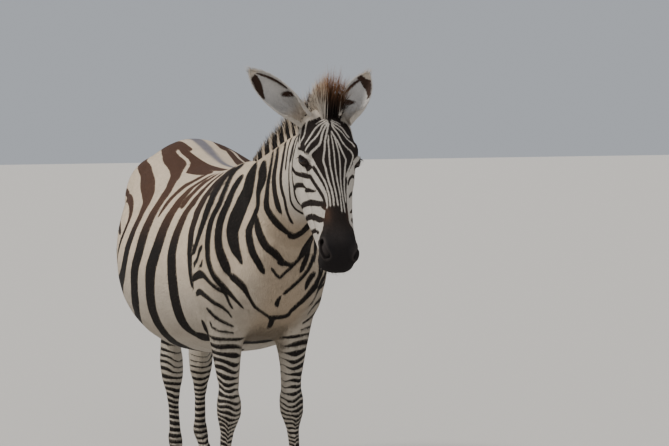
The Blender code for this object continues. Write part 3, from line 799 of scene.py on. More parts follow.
neckAndBody = {
    # by chart and sides: strokes of (u, v, millimetres of half width where it changes)
    ("flank", "both"): [
        [(-.165, 1.21, 8), (-.18, 1.19, 14), (-.18, 1.15), (-.173, 1.10, 18), (-.173, 1.05), (-.18, 1.0),
         (-.187, .95, 13), (-.193, .90), (-.20, .85, 9), (-.203, .83, 4)],
        [(-.12, 1.20, 14), (-.113, 1.15), (-.103, 1.10, 18), (-.10, 1.05), (-.097, 1.0), (-.097, .95, 21),
         (-.103, .90), (-.107, .85, 23), (-.108, .80), (-.105, .75, 22), (-.097, .70, 20), (-.097, .67),
         (-.112, .645, 18), (-.15, .65, 9)],
        [(-.063, 1.225, 16), (-.064, 1.17, 14), (-.068, 1.12, 5)],
        [(-.013, 1.20, 15), (-.02, 1.15, 22), (-.02, 1.05, 25), (-.02, 1.0), (-.013, .95), (0, .90, 28),
         (.007, .85), (.013, .80, 25), (.023, .75), (.033, .70), (.047, .65, 22), (.073, .60), (.107, .57),
         (.13, .555, 15)],
        [(.05, 1.21, 14), (.047, 1.15, 13), (.043, 1.08, 5)],
        [(.6, 1.338, 17), (.54, 1.319, 14), (.473, 1.306), (.407, 1.286, 13), (.34, 1.268),
         (.273, 1.249, 12), (.207, 1.226), (.15, 1.197, 14), (.12, 1.175, 17), (.10, 1.15, 20),
         (.087, 1.10), (.08, 1.05), (.077, 1.0, 25), (.077, .95), (.09, .90, 24), (.10, .85),
         (.107, .80, 25), (.127, .75, 28), (.167, .70), (.207, .68), (.257, .665, 20), (.33, .665),
         (.42, .67, 12)],
        [(.62, 1.272, 15), (.5, 1.245, 20), (.40, 1.217, 22), (.32, 1.19, 24), (.26, 1.165), (.21, 1.14),
         (.175, 1.10), (.163, 1.05, 23), (.165, 1.0), (.175, .95, 30), (.19, .90), (.22, .86),
         (.27, .825, 33), (.32, .80, 35), (.40, .76), (.48, .72), (.55, .70, 22)],
        [(.33, .885, 5), (.295, .95, 11), (.268, 1.0, 13), (.258, 1.05), (.28, 1.085, 13), (.33, 1.115),
         (.40, 1.13), (.5, 1.13, 17), (.6, 1.145), (.68, 1.142, 14)],
        [(.30, 1.0, 7), (.4, 1.03, 18), (.6, 1.05), (.71, 1.045, 15)],
        [(.33, .93, 7), (.42, .955, 18), (.6, .96), (.71, .952, 15)],
        [(.45, .875, 7), (.52, .885, 16), (.66, .875), (.72, .868, 13)],
        [(.5, .80, 8), (.58, .815, 15), (.68, .805), (.72, .798, 12)],
        [(.54, .735, 7), (.60, .745, 13), (.70, .735, 11)],
        [(-.600, 1.43, 5), (-.622, 1.36), (-.632, 1.29), (-.628, 1.22), (-.618, 1.165), (-.628, 1.12),
         (-.650, 1.09, 3)],
        [(-.630, 1.43, 5), (-.650, 1.36), (-.658, 1.29), (-.652, 1.225), (-.642, 1.18), (-.648, 1.135),
         (-.665, 1.105, 3)],
    ],
    ("rear", "both"): [
        [(-.26, 1.140, 14), (-.19, 1.15), (-.12, 1.165, 12), (-.06, 1.185, 6)],
        [(-.26, 1.045, 15), (-.19, 1.05), (-.12, 1.07, 12), (-.05, 1.105, 6)],
        [(-.26, .952, 14), (-.18, .953), (-.11, .975, 10), (-.055, 1.0, 5)],
        [(-.24, .868, 12), (-.165, .868), (-.10, .885, 6)],
        [(-.22, .797, 11), (-.15, .793), (-.09, .805, 5)],
        [(-.20, .733, 10), (-.14, .725), (-.09, .73, 4)],
    ],
    ("top", "both"): [
        [(.22, .60, 14), (.20, .68, 13), (.16, .75, 11), (.11, .80, 9), (.06, .835, 5)],
        [(.095, .68, 16), (.08, .75, 14), (.05, .82, 7)],
        [(.10, .02, 14), (.112, .10, 28), (.122, .20, 33), (.127, .30, 31), (.13, .40, 30), (.125, .50, 28),
         (.11, .60, 24), (.095, .68, 16)],
        [(.06, .76, 10), (.072, .70, 16), (.082, .60, 20), (.078, .5, 18), (.068, .4, 12)],
        [(.22, -.165, 13), (.17, -.172, 16), (.10, -.185, 17)],
        [(.22, -.118, 12), (.17, -.124, 13), (.10, -.138, 15)],
        [(.24, -.060, 12), (.18, -.068, 16), (.10, -.085, 17)],
        [(.24, -.012, 14), (.18, -.020, 15), (.10, -.035, 16)],
        [(.25, .048, 11), (.19, .042, 16), (.12, .025, 17)],
        [(.045, -.12, 15), (.055, 0, 18), (.07, .15, 22), (.09, .30, 24), (.105, .45, 28), (.10, .58, 28),
         (.085, .70, 20)],
    ],
    ("below", "both"): [
        [(-.20, -.195, 18), (-.13, -.18, 30), (-.06, -.17, 38), (0, -.165, 40)],
    ],
    ("below", "right"): [
        [(0, -.06, 7), (0, .1, 12), (0, .3, 14), (0, .46, 8)],
    ],
    ("quarter", "both"): [
        [(.07, 1.27, 16), (.05, 1.20, 20), (.045, 1.15, 22), (.03, 1.08, 20), (.01, 1.03, 17),
         (-.01, .99, 12), (-.02, .96, 8)],
        [(.05, 1.0, 8), (.03, .98, 10), (.01, .95), (-.01, .93), (-.02, .91, 6)],
        [(.055, .95, 5), (.045, .93, 7), (.02, .92, 4)],
        [(.115, 1.285, 12), (.10, 1.25), (.10, 1.20), (.10, 1.15, 12), (.083, 1.10), (.077, 1.05, 15),
         (.08, 1.0), (.089, .95, 13), (.115, .90), (.162, .85, 12), (.205, .81), (.225, .785, 5)],
        [(.153, 1.25, 13), (.139, 1.20), (.133, 1.15), (.124, 1.10), (.124, 1.05, 16), (.133, 1.0),
         (.156, .95, 18), (.180, .905, 15)],
        [(.195, 1.29, 22), (.206, 1.25, 28), (.21, 1.20, 30), (.195, 1.15, 30), (.183, 1.10, 30),
         (.18, 1.05, 25), (.198, 1.0, 20), (.218, .97, 12), (.233, .945, 5)],
        [(.256, 1.30, 22), (.28, 1.25, 25), (.271, 1.20, 14), (.274, 1.15, 10), (.262, 1.12, 11),
         (.245, 1.067, 13), (.256, 1.02, 14), (.271, .985), (.292, .95, 12), (.309, .914, 8)],
        [(.325, 1.355, 8), (.345, 1.32), (.348, 1.25, 12), (.359, 1.20, 12), (.374, 1.15, 12),
         (.386, 1.125, 3)],
        [(-.02, .87, 12), (0, .885), (.03, .895, 16), (.06, .895), (.09, .875, 9), (.13, .85), (.155, .835),
         (.165, .80), (.175, .78, 5)],
        [(-.01, .815, 10), (.02, .83, 12), (.06, .82), (.10, .80, 9), (.13, .785), (.15, .765),
         (.16, .745, 4)],
        [(.055, .775, 6), (.075, .76, 9), (.10, .74), (.13, .725), (.155, .71, 5)],
        [(.06, .725, 6.5), (.07, .705), (.10, .695), (.13, .69), (.15, .685, 4)],
    ],
    ("quarter", "right"): [
        [(.180, .905, 15), (.233, .873, 14), (.256, .832, 7), (.271, .785, 6), (.292, .745, 6),
         (.28, .72, 5), (.265, .705, 4)],
        [(.271, 1.114, 8), (.28, 1.067, 14), (.309, 1.014), (.339, .985, 12), (.362, .953, 8),
         (.385, .94, 7)],
        [(.30, 1.34, 7), (.318, 1.30, 8), (.318, 1.20, 12), (.318, 1.15, 15), (.336, 1.12),
         (.362, 1.09, 15), (.392, 1.06, 10), (.415, 1.046, 8)],
        [(.37, 1.375, 6), (.385, 1.33, 8), (.386, 1.25, 8), (.398, 1.20), (.405, 1.18), (.41, 1.13, 6),
         (.42, 1.09, 5)],
        [(.40, 1.39, 5), (.41, 1.34, 5), (.412, 1.28, 5)],
        [(.44, 1.40, 5), (.445, 1.35), (.44, 1.31, 4)],
        [(.345, .83, 4), (.33, .805, 6), (.327, .79, 6)],
        [(.412, .85, 4), (.42, .88, 5), (.435, .92, 4)],
    ],
    ("front", "right"): [
        [(-.026, .75, 6), (.0, .747, 5), (.041, .753, 5), (.058, .779), (.113, .836, 7), (.158, .879, 10),
         (.186, .907, 13)],
        [(-.02, .95, 6), (.008, .943, 6), (.047, .95, 5), (.086, 1.0, 7), (.12, 1.06, 9)],
        [(.01, 1.045, 6), (.03, 1.046, 7), (.058, 1.064, 7), (.09, 1.11, 9), (.115, 1.16, 10),
         (.13, 1.22, 8)],
        [(-.042, .933, 5), (-.014, .90, 5.5), (.008, .914), (.058, .957), (.102, 1.007, 6)],
        [(.008, .836, 5), (.058, .879), (.102, .921), (.136, .971, 6)],
        [(.102, .82, 5), (.14, .865, 7), (.169, .90, 6)],
    ],
    ("flank", "left"): [
        [(-.53, 1.41, 4), (-.565, 1.37, 8), (-.592, 1.32, 5)],
    ],
}
whiteOver = {
    ("flank", "both"): [
        [(.073, 1.18, 5), (.107, 1.203, 5), (.147, 1.219, 4), (.207, 1.243, 4), (.273, 1.269, 3),
         (.34, 1.287), (.407, 1.303), (.453, 1.316, 3)],
        [(.12, 1.13, 7), (.153, 1.163, 10), (.207, 1.191, 9), (.273, 1.213, 8), (.34, 1.235), (.407, 1.255),
         (.473, 1.276, 8), (.54, 1.297), (.64, 1.306, 8)],
    ],
    ("top", "right"): [
        [(0, .80, 20), (0, .68, 32), (0, .55, 38), (0, .4, 35), (0, .2, 26), (0, 0, 17), (0, -.12, 8)],
    ],
}
faceWhite = {
    # u is in degrees round the face, v in metres along it
    ("face", "right"): [
        [(-10, .012, 1.6), (-21, .016, 2.2), (-33, .022), (-41, .030, 2)],
        [(-8, .016, 1.6), (-16, .022, 2.6), (-30, .033), (-41, .048), (-49, .064), (-54, .079), (-57, .095),
         (-60, .108, 3)],
        [(-6, .020, 1.5), (-11, .027, 2.5), (-23, .039), (-30, .058), (-37, .073), (-44, .086), (-49, .098),
         (-53, .114), (-60, .129, 3)],
        [(-5, .025, 1.5), (-11, .035, 2.8), (-20, .054), (-26, .073), (-30, .095), (-34, .11), (-41, .123),
         (-50, .139, 4), (-54, .154, 6), (-51, .17, 5), (-46, .189, 3), (-39, .217), (-31, .245),
         (-27, .27), (-24, .298), (-24, .329, 3)],
        [(-4, .030, 1.5), (-9, .045, 3), (-14, .067), (-19, .089), (-22, .11), (-24, .133), (-28, .158),
         (-29, .173), (-26, .195), (-24, .22), (-21, .245), (-17, .27), (-14, .298), (-14, .329, 3.2)],
        [(-10, .075, 1.2), (-12, .095, 2.5), (-13, .11), (-13, .133), (-14, .158), (-14, .183), (-13, .204),
         (-11, .226), (-9, .251), (-6, .276), (-4, .301), (-2, .329, 2.8)],
        [(-3, .07, 1.2), (-2, .095, 2.2), (-1, .142), (-1.5, .173), (-1, .204), (1, .236), (3.5, .261),
         (6.5, .29), (7.5, .329), (8, .35, 2.6)],
        [(3, .075, 1.2), (7, .10, 2.4), (10.5, .13), (12, .16), (12, .19), (11, .22), (11, .245), (12, .27),
         (14, .295), (17, .33), (18.5, .35, 2.6)],
        [(-1.5, .06, 3), (3, .075), (8.5, .09), (14, .105), (20, .133), (26, .155), (28.5, .167),
         (26, .189), (23.5, .22), (21.5, .251), (22, .283), (25, .314, 3)],
        [(2, .033, 1.5), (7, .05, 2.8), (16, .07), (24, .098), (33, .117), (41, .129), (47, .148),
         (46, .164), (40, .186), (34, .204), (28.5, .226, 2.8)],
        [(3, .027, 1.5), (10, .039, 2.5), (21, .051), (34, .07), (43, .086), (48.5, .098), (50, .114, 2.5)],
        [(2, .021, 1.6), (7, .026, 2.8), (21, .033), (33, .045), (41, .061), (50, .076, 3)],
        [(5, .016, 1.6), (13, .02, 2.5), (24, .022), (34, .029, 2.5)],
        [(52, .172, 3), (41, .20), (36, .214), (33, .235, 3)],
        [(-59, .189, 3), (-50, .22), (-41, .251), (-34, .279), (-32, .301), (-33, .329, 3)],
    ],
}
cheekDark = {
    ("quarter", "right"): [
        [(.455, 1.292, 5), (.475, 1.275, 7), (.51, 1.268, 8), (.54, 1.270, 7)],
        [(.452, 1.207, 4), (.47, 1.228, 8), (.51, 1.233, 9), (.545, 1.226, 7)],
    ],
    ("face", "right"): [
        [(-104, .182, 9), (-90, .195, 9), (-76, .208), (-67, .214), (-60, .24), (-52, .262), (-45, .283),
         (-40, .305), (-38.5, .33, 4)],
        [(-130, .229, 9), (-116, .236), (-101, .244, 10), (-87, .251), (-73, .261), (-60, .266, 3)],
        [(-170, .258, 8), (-150, .268, 9), (-130, .276, 11), (-116, .283), (-101, .289, 12), (-87, .296),
         (-73, .303), (-59, .311), (-49, .315), (-44, .325), (-43, .335, 8)],
        [(152, .150, 3), (128, .166, 6), (104, .182, 6), (90, .195, 7), (76, .208), (57, .214, 6),
         (49, .217), (41, .229), (36, .251, 4)],
        [(41, .293, 3), (52, .277, 6), (74, .262, 8), (101, .25, 8), (130, .235, 8), (158, .222, 4)],
        [(43, .346, 3), (53, .338, 5), (76, .318, 8), (101, .298, 8), (130, .28, 8), (160, .262, 4)],
    ],
    ("face", "both"): [
        [(-172, .312, 7), (-150, .318, 8), (-130, .326, 11), (-116, .337), (-101, .342, 12), (-87, .348),
         (-73, .359), (-59, .368), (-47, .372, 9)],
        [(-165, .365, 8), (-140, .375, 8), (-116, .384, 8), (-101, .393), (-87, .401), (-72, .408, 6)],
        [(-112, .113, 4), (-101, .12), (-87, .126, 5)],
        [(-108, .085, 4), (-94, .095, 6), (-83, .104), (-73, .111, 5)],
        [(-106, .056, 10), (-96, .058, 13), (-84, .052, 12)],
    ],
    ("face", "left"): [
        [(-136, .104, 3), (-124, .110, 6), (-110, .116, 4)],
        [(-132, .052, 3), (-122, .060, 6), (-112, .066, 4)],
    ],
}
cheekWhite = {
    ("face", "both"): [
        [(-121, .095, 4), (-101, .108, 5), (-83, .117), (-66, .132, 4)],
        [(-94, .089, 3), (-78, .079, 3.5), (-68, .068), (-64, .044), (-62, .017), (-60, 0, 2.5)],
        [(-92, .065, 2.5), (-82, .055, 3), (-76, .035), (-74, .01, 2.5)],
    ],
}
layers = (
    # whether the strokes are dark
    (neckAndBody, True),
    (whiteOver, False),
    (faceWhite, False),
    (cheekDark, True),
    (cheekWhite, False),
)
chartSides = {"both": (-1, 1), "right": (-1,), "left": (1,)}


def dropStrokes(tree):
    dropped = []
    for layer, dark in layers:
        for (chart, whichSides), lines in layer.items():
            for points in lines:
                for sign in chartSides[whichSides]:
                    line = dropStroke(tree, chart, points, sign)
                    if len(line):
                        dropped.append((line, dark))
    return dropped


legBands = {
    # the shaft's middle at the top and at the foot, and the bands' slope inwards and distance apart
    "fore_left": {"x": (0.110, 0.142), "y": (-0.27, -0.30), "top": 0.69, "slope": -0.003, "apart": 1.0},
    "fore_right": {"x": (-0.115, -0.155), "y": (-0.27, -0.30), "top": 0.69, "slope": -0.003, "apart": 1.0},
    "hind_left": {"x": (0.12, 0.091), "y": (0.70, 0.74), "top": 0.70, "slope": -0.012, "apart": 1.3},
    "hind_right": {"x": (-0.12, -0.089), "y": (0.58, 0.53), "top": 0.70, "slope": -0.012, "apart": 1.3},
}
bandForm = {
    "spacings": ((0.06, 0.12, 0.36, 0.44, 0.64, 0.80), (0.013, 0.017, 0.0185, 0.021, 0.031, 0.044)),
    "widths": ((0.06, 0.30, 0.45, 0.65), (0.37, 0.35, 0.31, 0.30)),  # half widths as shares of the spacing
    "innerLoss": ((0.38, 0.5), (0.10, 0.26)),
    "hindLoss": 0.06,
    "dip": 0.008,
    "waves": (0.0035, 0.0022),
}


def bandFields(where):
    # bands down the legs: a place's phase, the spacing, the half width's share, and whether it has any
    heights = np.linspace(0.0, 0.9, 900)
    phases = np.cumsum((heights[1] - heights[0]) / np.interp(heights, *bandForm["spacings"]))
    fields = np.zeros((len(where), 4))
    tall = where[:, 2]
    for leg, shape in legBands.items():
        sign = 1 if "left" in leg else -1
        t = np.clip(tall / 0.6, 0, 1)
        besideShaft = where[:, 0] - (shape["x"][1] + (shape["x"][0] - shape["x"][1]) * t)
        behindShaft = where[:, 1] - (shape["y"][1] + (shape["y"][0] - shape["y"][1]) * t)
        mine = (where[:, 0] * sign > 0) & (np.abs(behindShaft) < 0.24)
        mine &= (where[:, 1] < 0.1) if "fore" in leg else (where[:, 1] > 0.3)
        far = np.hypot(besideShaft, behindShaft)
        angle = np.arctan2(besideShaft * sign, -behindShaft)
        bow = shape["slope"] * np.sin(angle) + bandForm["dip"] * np.cos(angle)
        bow += bandForm["waves"][0] * np.sin(2 * angle + tall * 31 + len(leg))
        bow += bandForm["waves"][1] * np.sin(3 * angle - tall * 53)
        level = tall + bow * np.clip(tall / 0.3, 0.25, 1.2)
        width = np.interp(tall, *bandForm["widths"])
        width -= bandForm["hindLoss"] * ("hind" in leg) * smooth01(tall, 0.3, 0.45)
        width -= np.clip(-np.sin(angle), 0, 1) * np.interp(tall, *bandForm["innerLoss"])
        # they thin out towards the breast, the belly and the thigh
        width -= 0.5 * smooth01(-besideShaft * sign, 0.045, 0.085) * smooth01(tall, 0.54, 0.60)
        width -= 0.45 * smooth01(far, 0.085, 0.15)
        width -= 0.5 * smooth01(tall, shape["top"] - 0.035, shape["top"])
        phase = np.interp(level, heights, phases) / shape["apart"]
        spacing = np.interp(level, *bandForm["spacings"]) * shape["apart"]
        found = np.stack((phase, spacing, width, (shape["top"] - tall) * 20), 1)
        fields = np.where(mine[:, None], found, fields)
    return fields


def bandMark(where):
    phase, spacing, width, share = bandFields(where).T
    return np.where(share > 0, (width - np.abs(phase - np.round(phase))) * spacing, lightMark)


facePatch = {
    # where the dark patch ends, in degrees round the face, and where the muzzle starts along it
    "alongs": (-.02, .0, .018, .05, .10, .14, .16, .19, .22, .25, .28, .30, .33, .36),
    "right": (-14, -30, -70, -82, -84, -72, -60, -59, -50, -41, -34, -32, -33, -35),
    "left": (20, 34, 56, 62, 62, 60, 56, 44, 36, 31, 29, 29, 30, 32),
    "muzzleAngles": (-110, -100, -75, -55, -39, -23, -9, 6, 20, 27, 37, 55, 75, 100, 110),
    "muzzleAlongs": (.445, .44, .43, .405, .333, .339, .351, .367, .364, .37, .389, .405, .43, .44, .445),
    "degree": 0.0016,  # metres round the face
}


def faceAngles(local):
    return np.degrees(np.arctan2(local[:, 0], local[:, 2] - head["axisUp"]))


def strokeMarks(mark, where, strokes):
    # dark strokes raise the mark where they lie, and light ones lower it
    for line, dark in strokes:
        reach = line[:, 3].max() + 0.03
        low, high = line[:, :3].min(0) - reach, line[:, :3].max(0) + reach
        near = np.nonzero(np.all((where > low) & (where < high), axis=1))[0]
        if not len(near):
            continue
        best = np.full(len(near), lightMark)
        here = where[near]
        for sample in line:
            best = np.maximum(best, sample[3] - np.linalg.norm(here - sample[:3], axis=1))
        mark[near] = np.maximum(mark[near], best) if dark else np.minimum(mark[near], -best)


def dockBars(where):
    bars = np.minimum(0.0075 - np.abs((where[:, 2] + 0.0125) % 0.036 - 0.018) * 0.62, where[:, 1] - 0.868)
    onDock = (np.abs(where[:, 0]) < 0.045) & (where[:, 1] > 0.84) & (where[:, 2] < 1.20)
    return np.where(onDock, bars, lightMark)


def eyeMarks(mark, where):
    # dark lids and tear duct, with a light brow above
    for side in sides:
        _, far, _, tilt, across, above, almond = eyePlaces(where, side)
        near = (far < 0.045) & (tilt < 1.4)
        brow = np.minimum(almond - 1.40, 2.3 - almond) * 0.010 * smooth01(above, 0.0, 0.004) - 0.0005
        mark = np.where(near & (above > 0), np.minimum(mark, -brow), mark)
        lids = np.where(above > 0, 1.40 - almond, (2.5 - almond) * 0.8) * 0.010
        corner = across - eyeForm["halfLong"]
        duct = 0.0034 - np.maximum(corner, -corner * 3) * 0.25 - np.abs(above + 0.0015 + 0.15 * corner)
        mark = np.where(near, np.maximum(mark, np.maximum(lids, duct)), mark)
    return mark


def markAt(where, strokes, withBands=True):
    # how far inside dark hair a place lies, in metres; below 0 is light hair
    mark = bandMark(where) if withBands else np.full(len(where), lightMark)
    local = toHead(where)
    onHead = headWeight(where) > 0
    angles = faceAngles(local)
    alongs = facePatch["alongs"]
    right, left = (np.interp(local[:, 1], alongs, facePatch[side]) for side in ("right", "left"))
    patch = np.minimum(angles - right, left - angles) * facePatch["degree"]
    patch = np.minimum(patch, local[:, 1] + 0.03)
    patch = np.minimum(patch, 0.40 - local[:, 1])
    mark[onHead] = np.maximum(mark[onHead], patch[onHead])
    mark = np.maximum(mark, dockBars(where))
    strokeMarks(mark, where, strokes)
    muzzle = local[:, 1] - np.interp(angles, facePatch["muzzleAngles"], facePatch["muzzleAlongs"])
    muzzle = np.maximum(muzzle, 0.020 - nostrilAway(local))
    mark[onHead] = np.maximum(mark[onHead], muzzle[onHead])
    return eyeMarks(mark, where)


hairTones = {
    "cream": (0.50, 0.41, 0.31),
    "greyTan": (0.35, 0.305, 0.25),
    "warmTan": (0.345, 0.275, 0.20),
    "face": (0.45, 0.41, 0.36),
    "earInside": (0.42, 0.40, 0.38),
    "leg": (0.36, 0.32, 0.265),
    "belly": (0.38, 0.34, 0.29),
    "breast": (0.26, 0.205, 0.145),
    "dorsal": (0.15, 0.14, 0.155),
    "black": (0.010, 0.008, 0.007),
    "chocolate": (0.062, 0.030, 0.018),
    "faceDark": (0.016, 0.011, 0.009),
    "nose": (0.010, 0.008, 0.008),
    # painted highlight for the nostrils' rims and the top of the nose
    "noseHighlight": (0.036, 0.029, 0.027),
    "glint": (0.085, 0.060, 0.045),
    "rust": (0.075, 0.035, 0.020),
    "rustTip": (0.25, 0.115, 0.052),
    "paleTip": (0.40, 0.25, 0.13),
}
dorsalHalf = ((-.12, 0, .2, .4, .6, .8), (.002, .007, .014, .021, .024, .012))  # the grey line, along Y


def tone(name):
    return np.array(hairTones[name])


def blendTone(colours, name, share):
    colours += (tone(name) - colours) * share[:, None]


def clearOfBelly(where):
    # ahead of the belly or behind it, where the legs are
    return np.abs(where[:, 1] - 0.21) > 0.33


def hairColours(where):
    local = toHead(where)
    onHead = headWeight(where)
    aside, low, ahead = np.abs(where[:, 0]), -where[:, 2], -where[:, 1]
    light = np.tile(tone("cream"), (len(where), 1))
    blendTone(light, "greyTan", smooth01(low, -1.0, -0.75))
    middle = smooth01(-np.abs(where[:, 0] - 0.02), -0.15, -0.04)
    blendTone(light, "warmTan", smooth01(ahead, 0.30, 0.42) * middle * smooth01(low, -1.35, -1.05))
    blendTone(light, "belly", smooth01(low, -0.66, -0.58) * (np.abs(where[:, 1] - 0.18) < 0.36))
    blendTone(light, "leg", smooth01(low, -0.75, -0.6) * clearOfBelly(where))
    breast = smooth01(low, -0.80, -0.70) * (ahead > 0.2) * smooth01(-aside, -0.10, -0.05)
    blendTone(light, "breast", breast * 0.7 * smooth01(where[:, 2], 0.58, 0.63))
    paler = smooth01(local[:, 1], -0.13, 0.05) * smooth01(local[:, 2], -0.36, -0.25)
    blendTone(light, "face", paler * smooth01(ahead, 0.48, 0.66))
    dorsal = smooth01(np.interp(where[:, 1], *dorsalHalf) - aside, -0.006, 0.006)
    blendTone(light, "dorsal", dorsal * (where[:, 2] > 1.15) * smooth01(where[:, 1], -0.15, -0.05))
    dark = np.tile(tone("black"), (len(where), 1))
    upper = smooth01(where[:, 2], 0.95, 1.15) * smooth01(where[:, 1], -0.25, -0.05)
    blendTone(dark, "chocolate", upper * 0.9)
    blendTone(dark, "faceDark", onHead)
    rusty = np.exp(-(((np.abs(faceAngles(local)) - 38) / 14) ** 2) - ((local[:, 1] - 0.355) / 0.03) ** 2)
    blendTone(dark, "rust", rusty * onHead * 0.6)
    blendTone(dark, "nose", smooth01(local[:, 1], 0.40, 0.44) * onHead)
    # painted highlight: a lighter ring round each nostril and a lighter patch on top of the nose, over the
    # dark muzzle
    rim = np.exp(-(((nostrilAway(local) - 0.0165) / 0.0045) ** 2))
    blendTone(dark, "noseHighlight", rim * onHead * 0.6)
    noseTopHighlight = np.exp(-((local[:, 0] / 0.035) ** 2) - ((local[:, 1] - 0.425) / 0.035) ** 2)
    blendTone(dark, "noseHighlight", noseTopHighlight * (local[:, 2] > -0.06) * onHead * 0.55)
    return light, dark


def dressSkin(mesh, strokes):
    where = places(mesh)
    light, dark = hairColours(where)
    setNumbers(mesh, "mark", markAt(where, strokes, False))
    for name, values in zip(bandNames, bandFields(where).T):
        setNumbers(mesh, name, values)
    setHair(mesh, light, dark)


# tufts and locks: one template copied through arrays

def spikeTemplate(sides, rings):
    # a closed cone from z 0 to 1, its radius 1 at the root
    bm = bmesh.new()
    bmesh.ops.create_cone(bm, cap_ends=True, cap_tris=False, segments=sides, radius1=1, radius2=0.0, depth=1)
    if rings > 1:
        upright = [edge for edge in bm.edges if abs(edge.verts[0].co.z - edge.verts[1].co.z) > 0.5]
        bmesh.ops.subdivide_edges(bm, edges=upright, cuts=rings - 1)
    bmesh.ops.triangulate(bm, faces=bm.faces)
    bmesh.ops.recalc_face_normals(bm, faces=bm.faces)
    corners = np.array([vertex.co for vertex in bm.verts])
    corners[:, 2] += 0.5
    faces = np.array([[vertex.index for vertex in face.verts] for face in bm.faces])
    bm.free()
    return corners, faces


def meshOfCopies(name, corners, faces, rootMaps):
    # corners is (copies, points, 3); each copy takes its root's patch of the skin's own unwrap
    copies, points = corners.shape[:2]
    mesh = bpy.data.meshes.new(name)
    mesh.vertices.add(copies * points)
    mesh.vertices.foreach_set("co", corners.reshape(-1))
    index = (faces[None] + (np.arange(copies) * points)[:, None, None]).reshape(-1)
    mesh.loops.add(len(index))
    mesh.loops.foreach_set("vertex_index", index.astype(np.int32))
    mesh.polygons.add(len(index) // 3)
    mesh.polygons.foreach_set("loop_start", np.arange(0, len(index), 3, dtype=np.int32))
    mesh.update(calc_edges=True)
    mesh.polygons.foreach_set("use_smooth", np.ones(len(index) // 3, bool))
    layer = mesh.uv_layers.new(name="OFBake")
    turn = np.arange(points) / points * 2 * math.pi
    patch = np.stack((np.cos(turn), np.sin(turn)), 1) * 0.0014
    spots = (rootMaps[:, None, :] + patch[None]).reshape(-1, 2)[index]
    layer.data.foreach_set("uv", np.ascontiguousarray(spots, np.float32).ravel())
    return linkPiece(name, mesh)


def triangleTable(mesh):
    # corners' numbers and unwrap places of each triangle
    mesh.calc_loop_triangles()
    count = len(mesh.loop_triangles)
    corners, loops = np.empty(count * 3, np.int32), np.empty(count * 3, np.int32)
    mesh.loop_triangles.foreach_get("vertices", corners)
    mesh.loop_triangles.foreach_get("loops", loops)
    spots = np.empty(len(mesh.loops) * 2, np.float32)
    mesh.uv_layers["OFBake"].data.foreach_get("uv", spots)
    return corners.reshape(-1, 3), spots.reshape(-1, 2)[loops.reshape(-1, 3)]


def fewer(count):
    return count


def cornerShares(count, rng):
    # random places in triangles, as shares of their corners
    r1, r2 = np.sqrt(rng.random(count)), rng.random(count)
    return np.stack((1 - r1, r1 * (1 - r2), r1 * r2), 1)[:, :, None]


def triangleAreas(where, corners):
    a, b, c = (where[corners[:, k]] for k in range(3))
    return np.linalg.norm(np.cross(b - a, c - a), axis=1) / 2


def scatter(piece, density, rng):
    # random roots on a piece, density is roots per square metre at each vertex
    where, normals = places(piece.data), normalsOf(piece.data)
    corners, spots = triangleTable(piece.data)
    wanted = triangleAreas(where, corners) * density[corners].mean(1)
    totals = np.cumsum(wanted)
    count = int(totals[-1])
    picks = np.searchsorted(totals, (np.arange(count) + rng.random(count)) / count * totals[-1])
    picks = np.minimum(picks, len(totals) - 1)
    shares = cornerShares(count, rng)
    roots = (where[corners[picks]] * shares).sum(1)
    leans = (normals[corners[picks]] * shares).sum(1)
    leans /= np.linalg.norm(leans, axis=1)[:, None]
    return roots, leans, (spots[picks] * shares).sum(1)


hairWays = {
    "body": (0.0, 1.0, -0.45),
    "neck": (0.0, 0.55, -0.95),
    "chest": (0.0, 0.1, -1.0),
    "legs": (0.0, 0.15, -1.0),
    "behind": (0.0, 0.2, -1.0),
    "head": headToWorld.to_3x3() @ Vector((0, 1, 0)),
}


def hairFlow(where):
    # which way the hair lies, each part of the body over those before it
    shares = {
        "neck": smooth01(-where[:, 1], 0.20, 0.34) * smooth01(where[:, 2], 0.9, 1.05),
        "chest": smooth01(-where[:, 1], 0.34, 0.46) * smooth01(-where[:, 2], -1.1, -0.95),
        "legs": smooth01(-where[:, 2], -0.80, -0.62) * clearOfBelly(where),
        "behind": smooth01(where[:, 1], 0.68, 0.80),
        "head": headWeight(where),
    }
    flow = np.tile(np.array(hairWays["body"]), (len(where), 1))
    for name, share in shares.items():
        flow += (np.array(hairWays[name]) - flow) * share[:, None]
    return flow


def unit(ways):
    return ways / np.maximum(np.linalg.norm(ways, axis=1), 1e-9)[:, None]


def layHair(name, template, roots, leans, maps, flow, lengths, widths, lift, bend, rng):
    # flattened copies of the template along the flow, lifted by an angle's tangent and bent back to the skin
    corners, faces = template
    across, deep, z = (corners[:, k][None, :, None] for k in range(3))
    along = unit(flow - leans * np.sum(flow * leans, axis=1)[:, None])
    stray = rng.normal(0, 0.16, len(roots))[:, None]
    along = unit(along + np.cross(leans, along) * stray)
    sideways = np.cross(leans, along)
    body = (roots - leans * (widths * 0.4)[:, None])[:, None, :]
    body = body + (along * lengths[:, None])[:, None, :] * z
    body += (leans * (lengths * lift)[:, None])[:, None, :] * (z - bend * z * z)
    body += (sideways * widths[:, None])[:, None, :] * across
    body += (leans * (widths * 0.45)[:, None])[:, None, :] * deep
    return meshOfCopies(name, body, faces, maps)


def dressTufts(piece, roots, mark, light, dark, shade):
    # every corner of a tuft takes its root's mark and colours
    points = len(piece.data.vertices) // len(roots)
    setNumbers(piece.data, "mark", np.repeat(mark, points))
    setHair(piece.data, *(np.repeat(colours * shade[:, None], points, axis=0) for colours in (light, dark)))


def dressCopies(piece, roots, mark, rng):
    light, dark = hairColours(roots)
    blendTone(dark, "glint", 0.6 * (rng.random(len(roots)) < 0.14) * (headWeight(roots) < 0.5))
    dressTufts(piece, roots, mark, light, dark, np.clip(rng.normal(1.0, 0.10, len(roots)), 0.6, 1.4))


# mane and tail

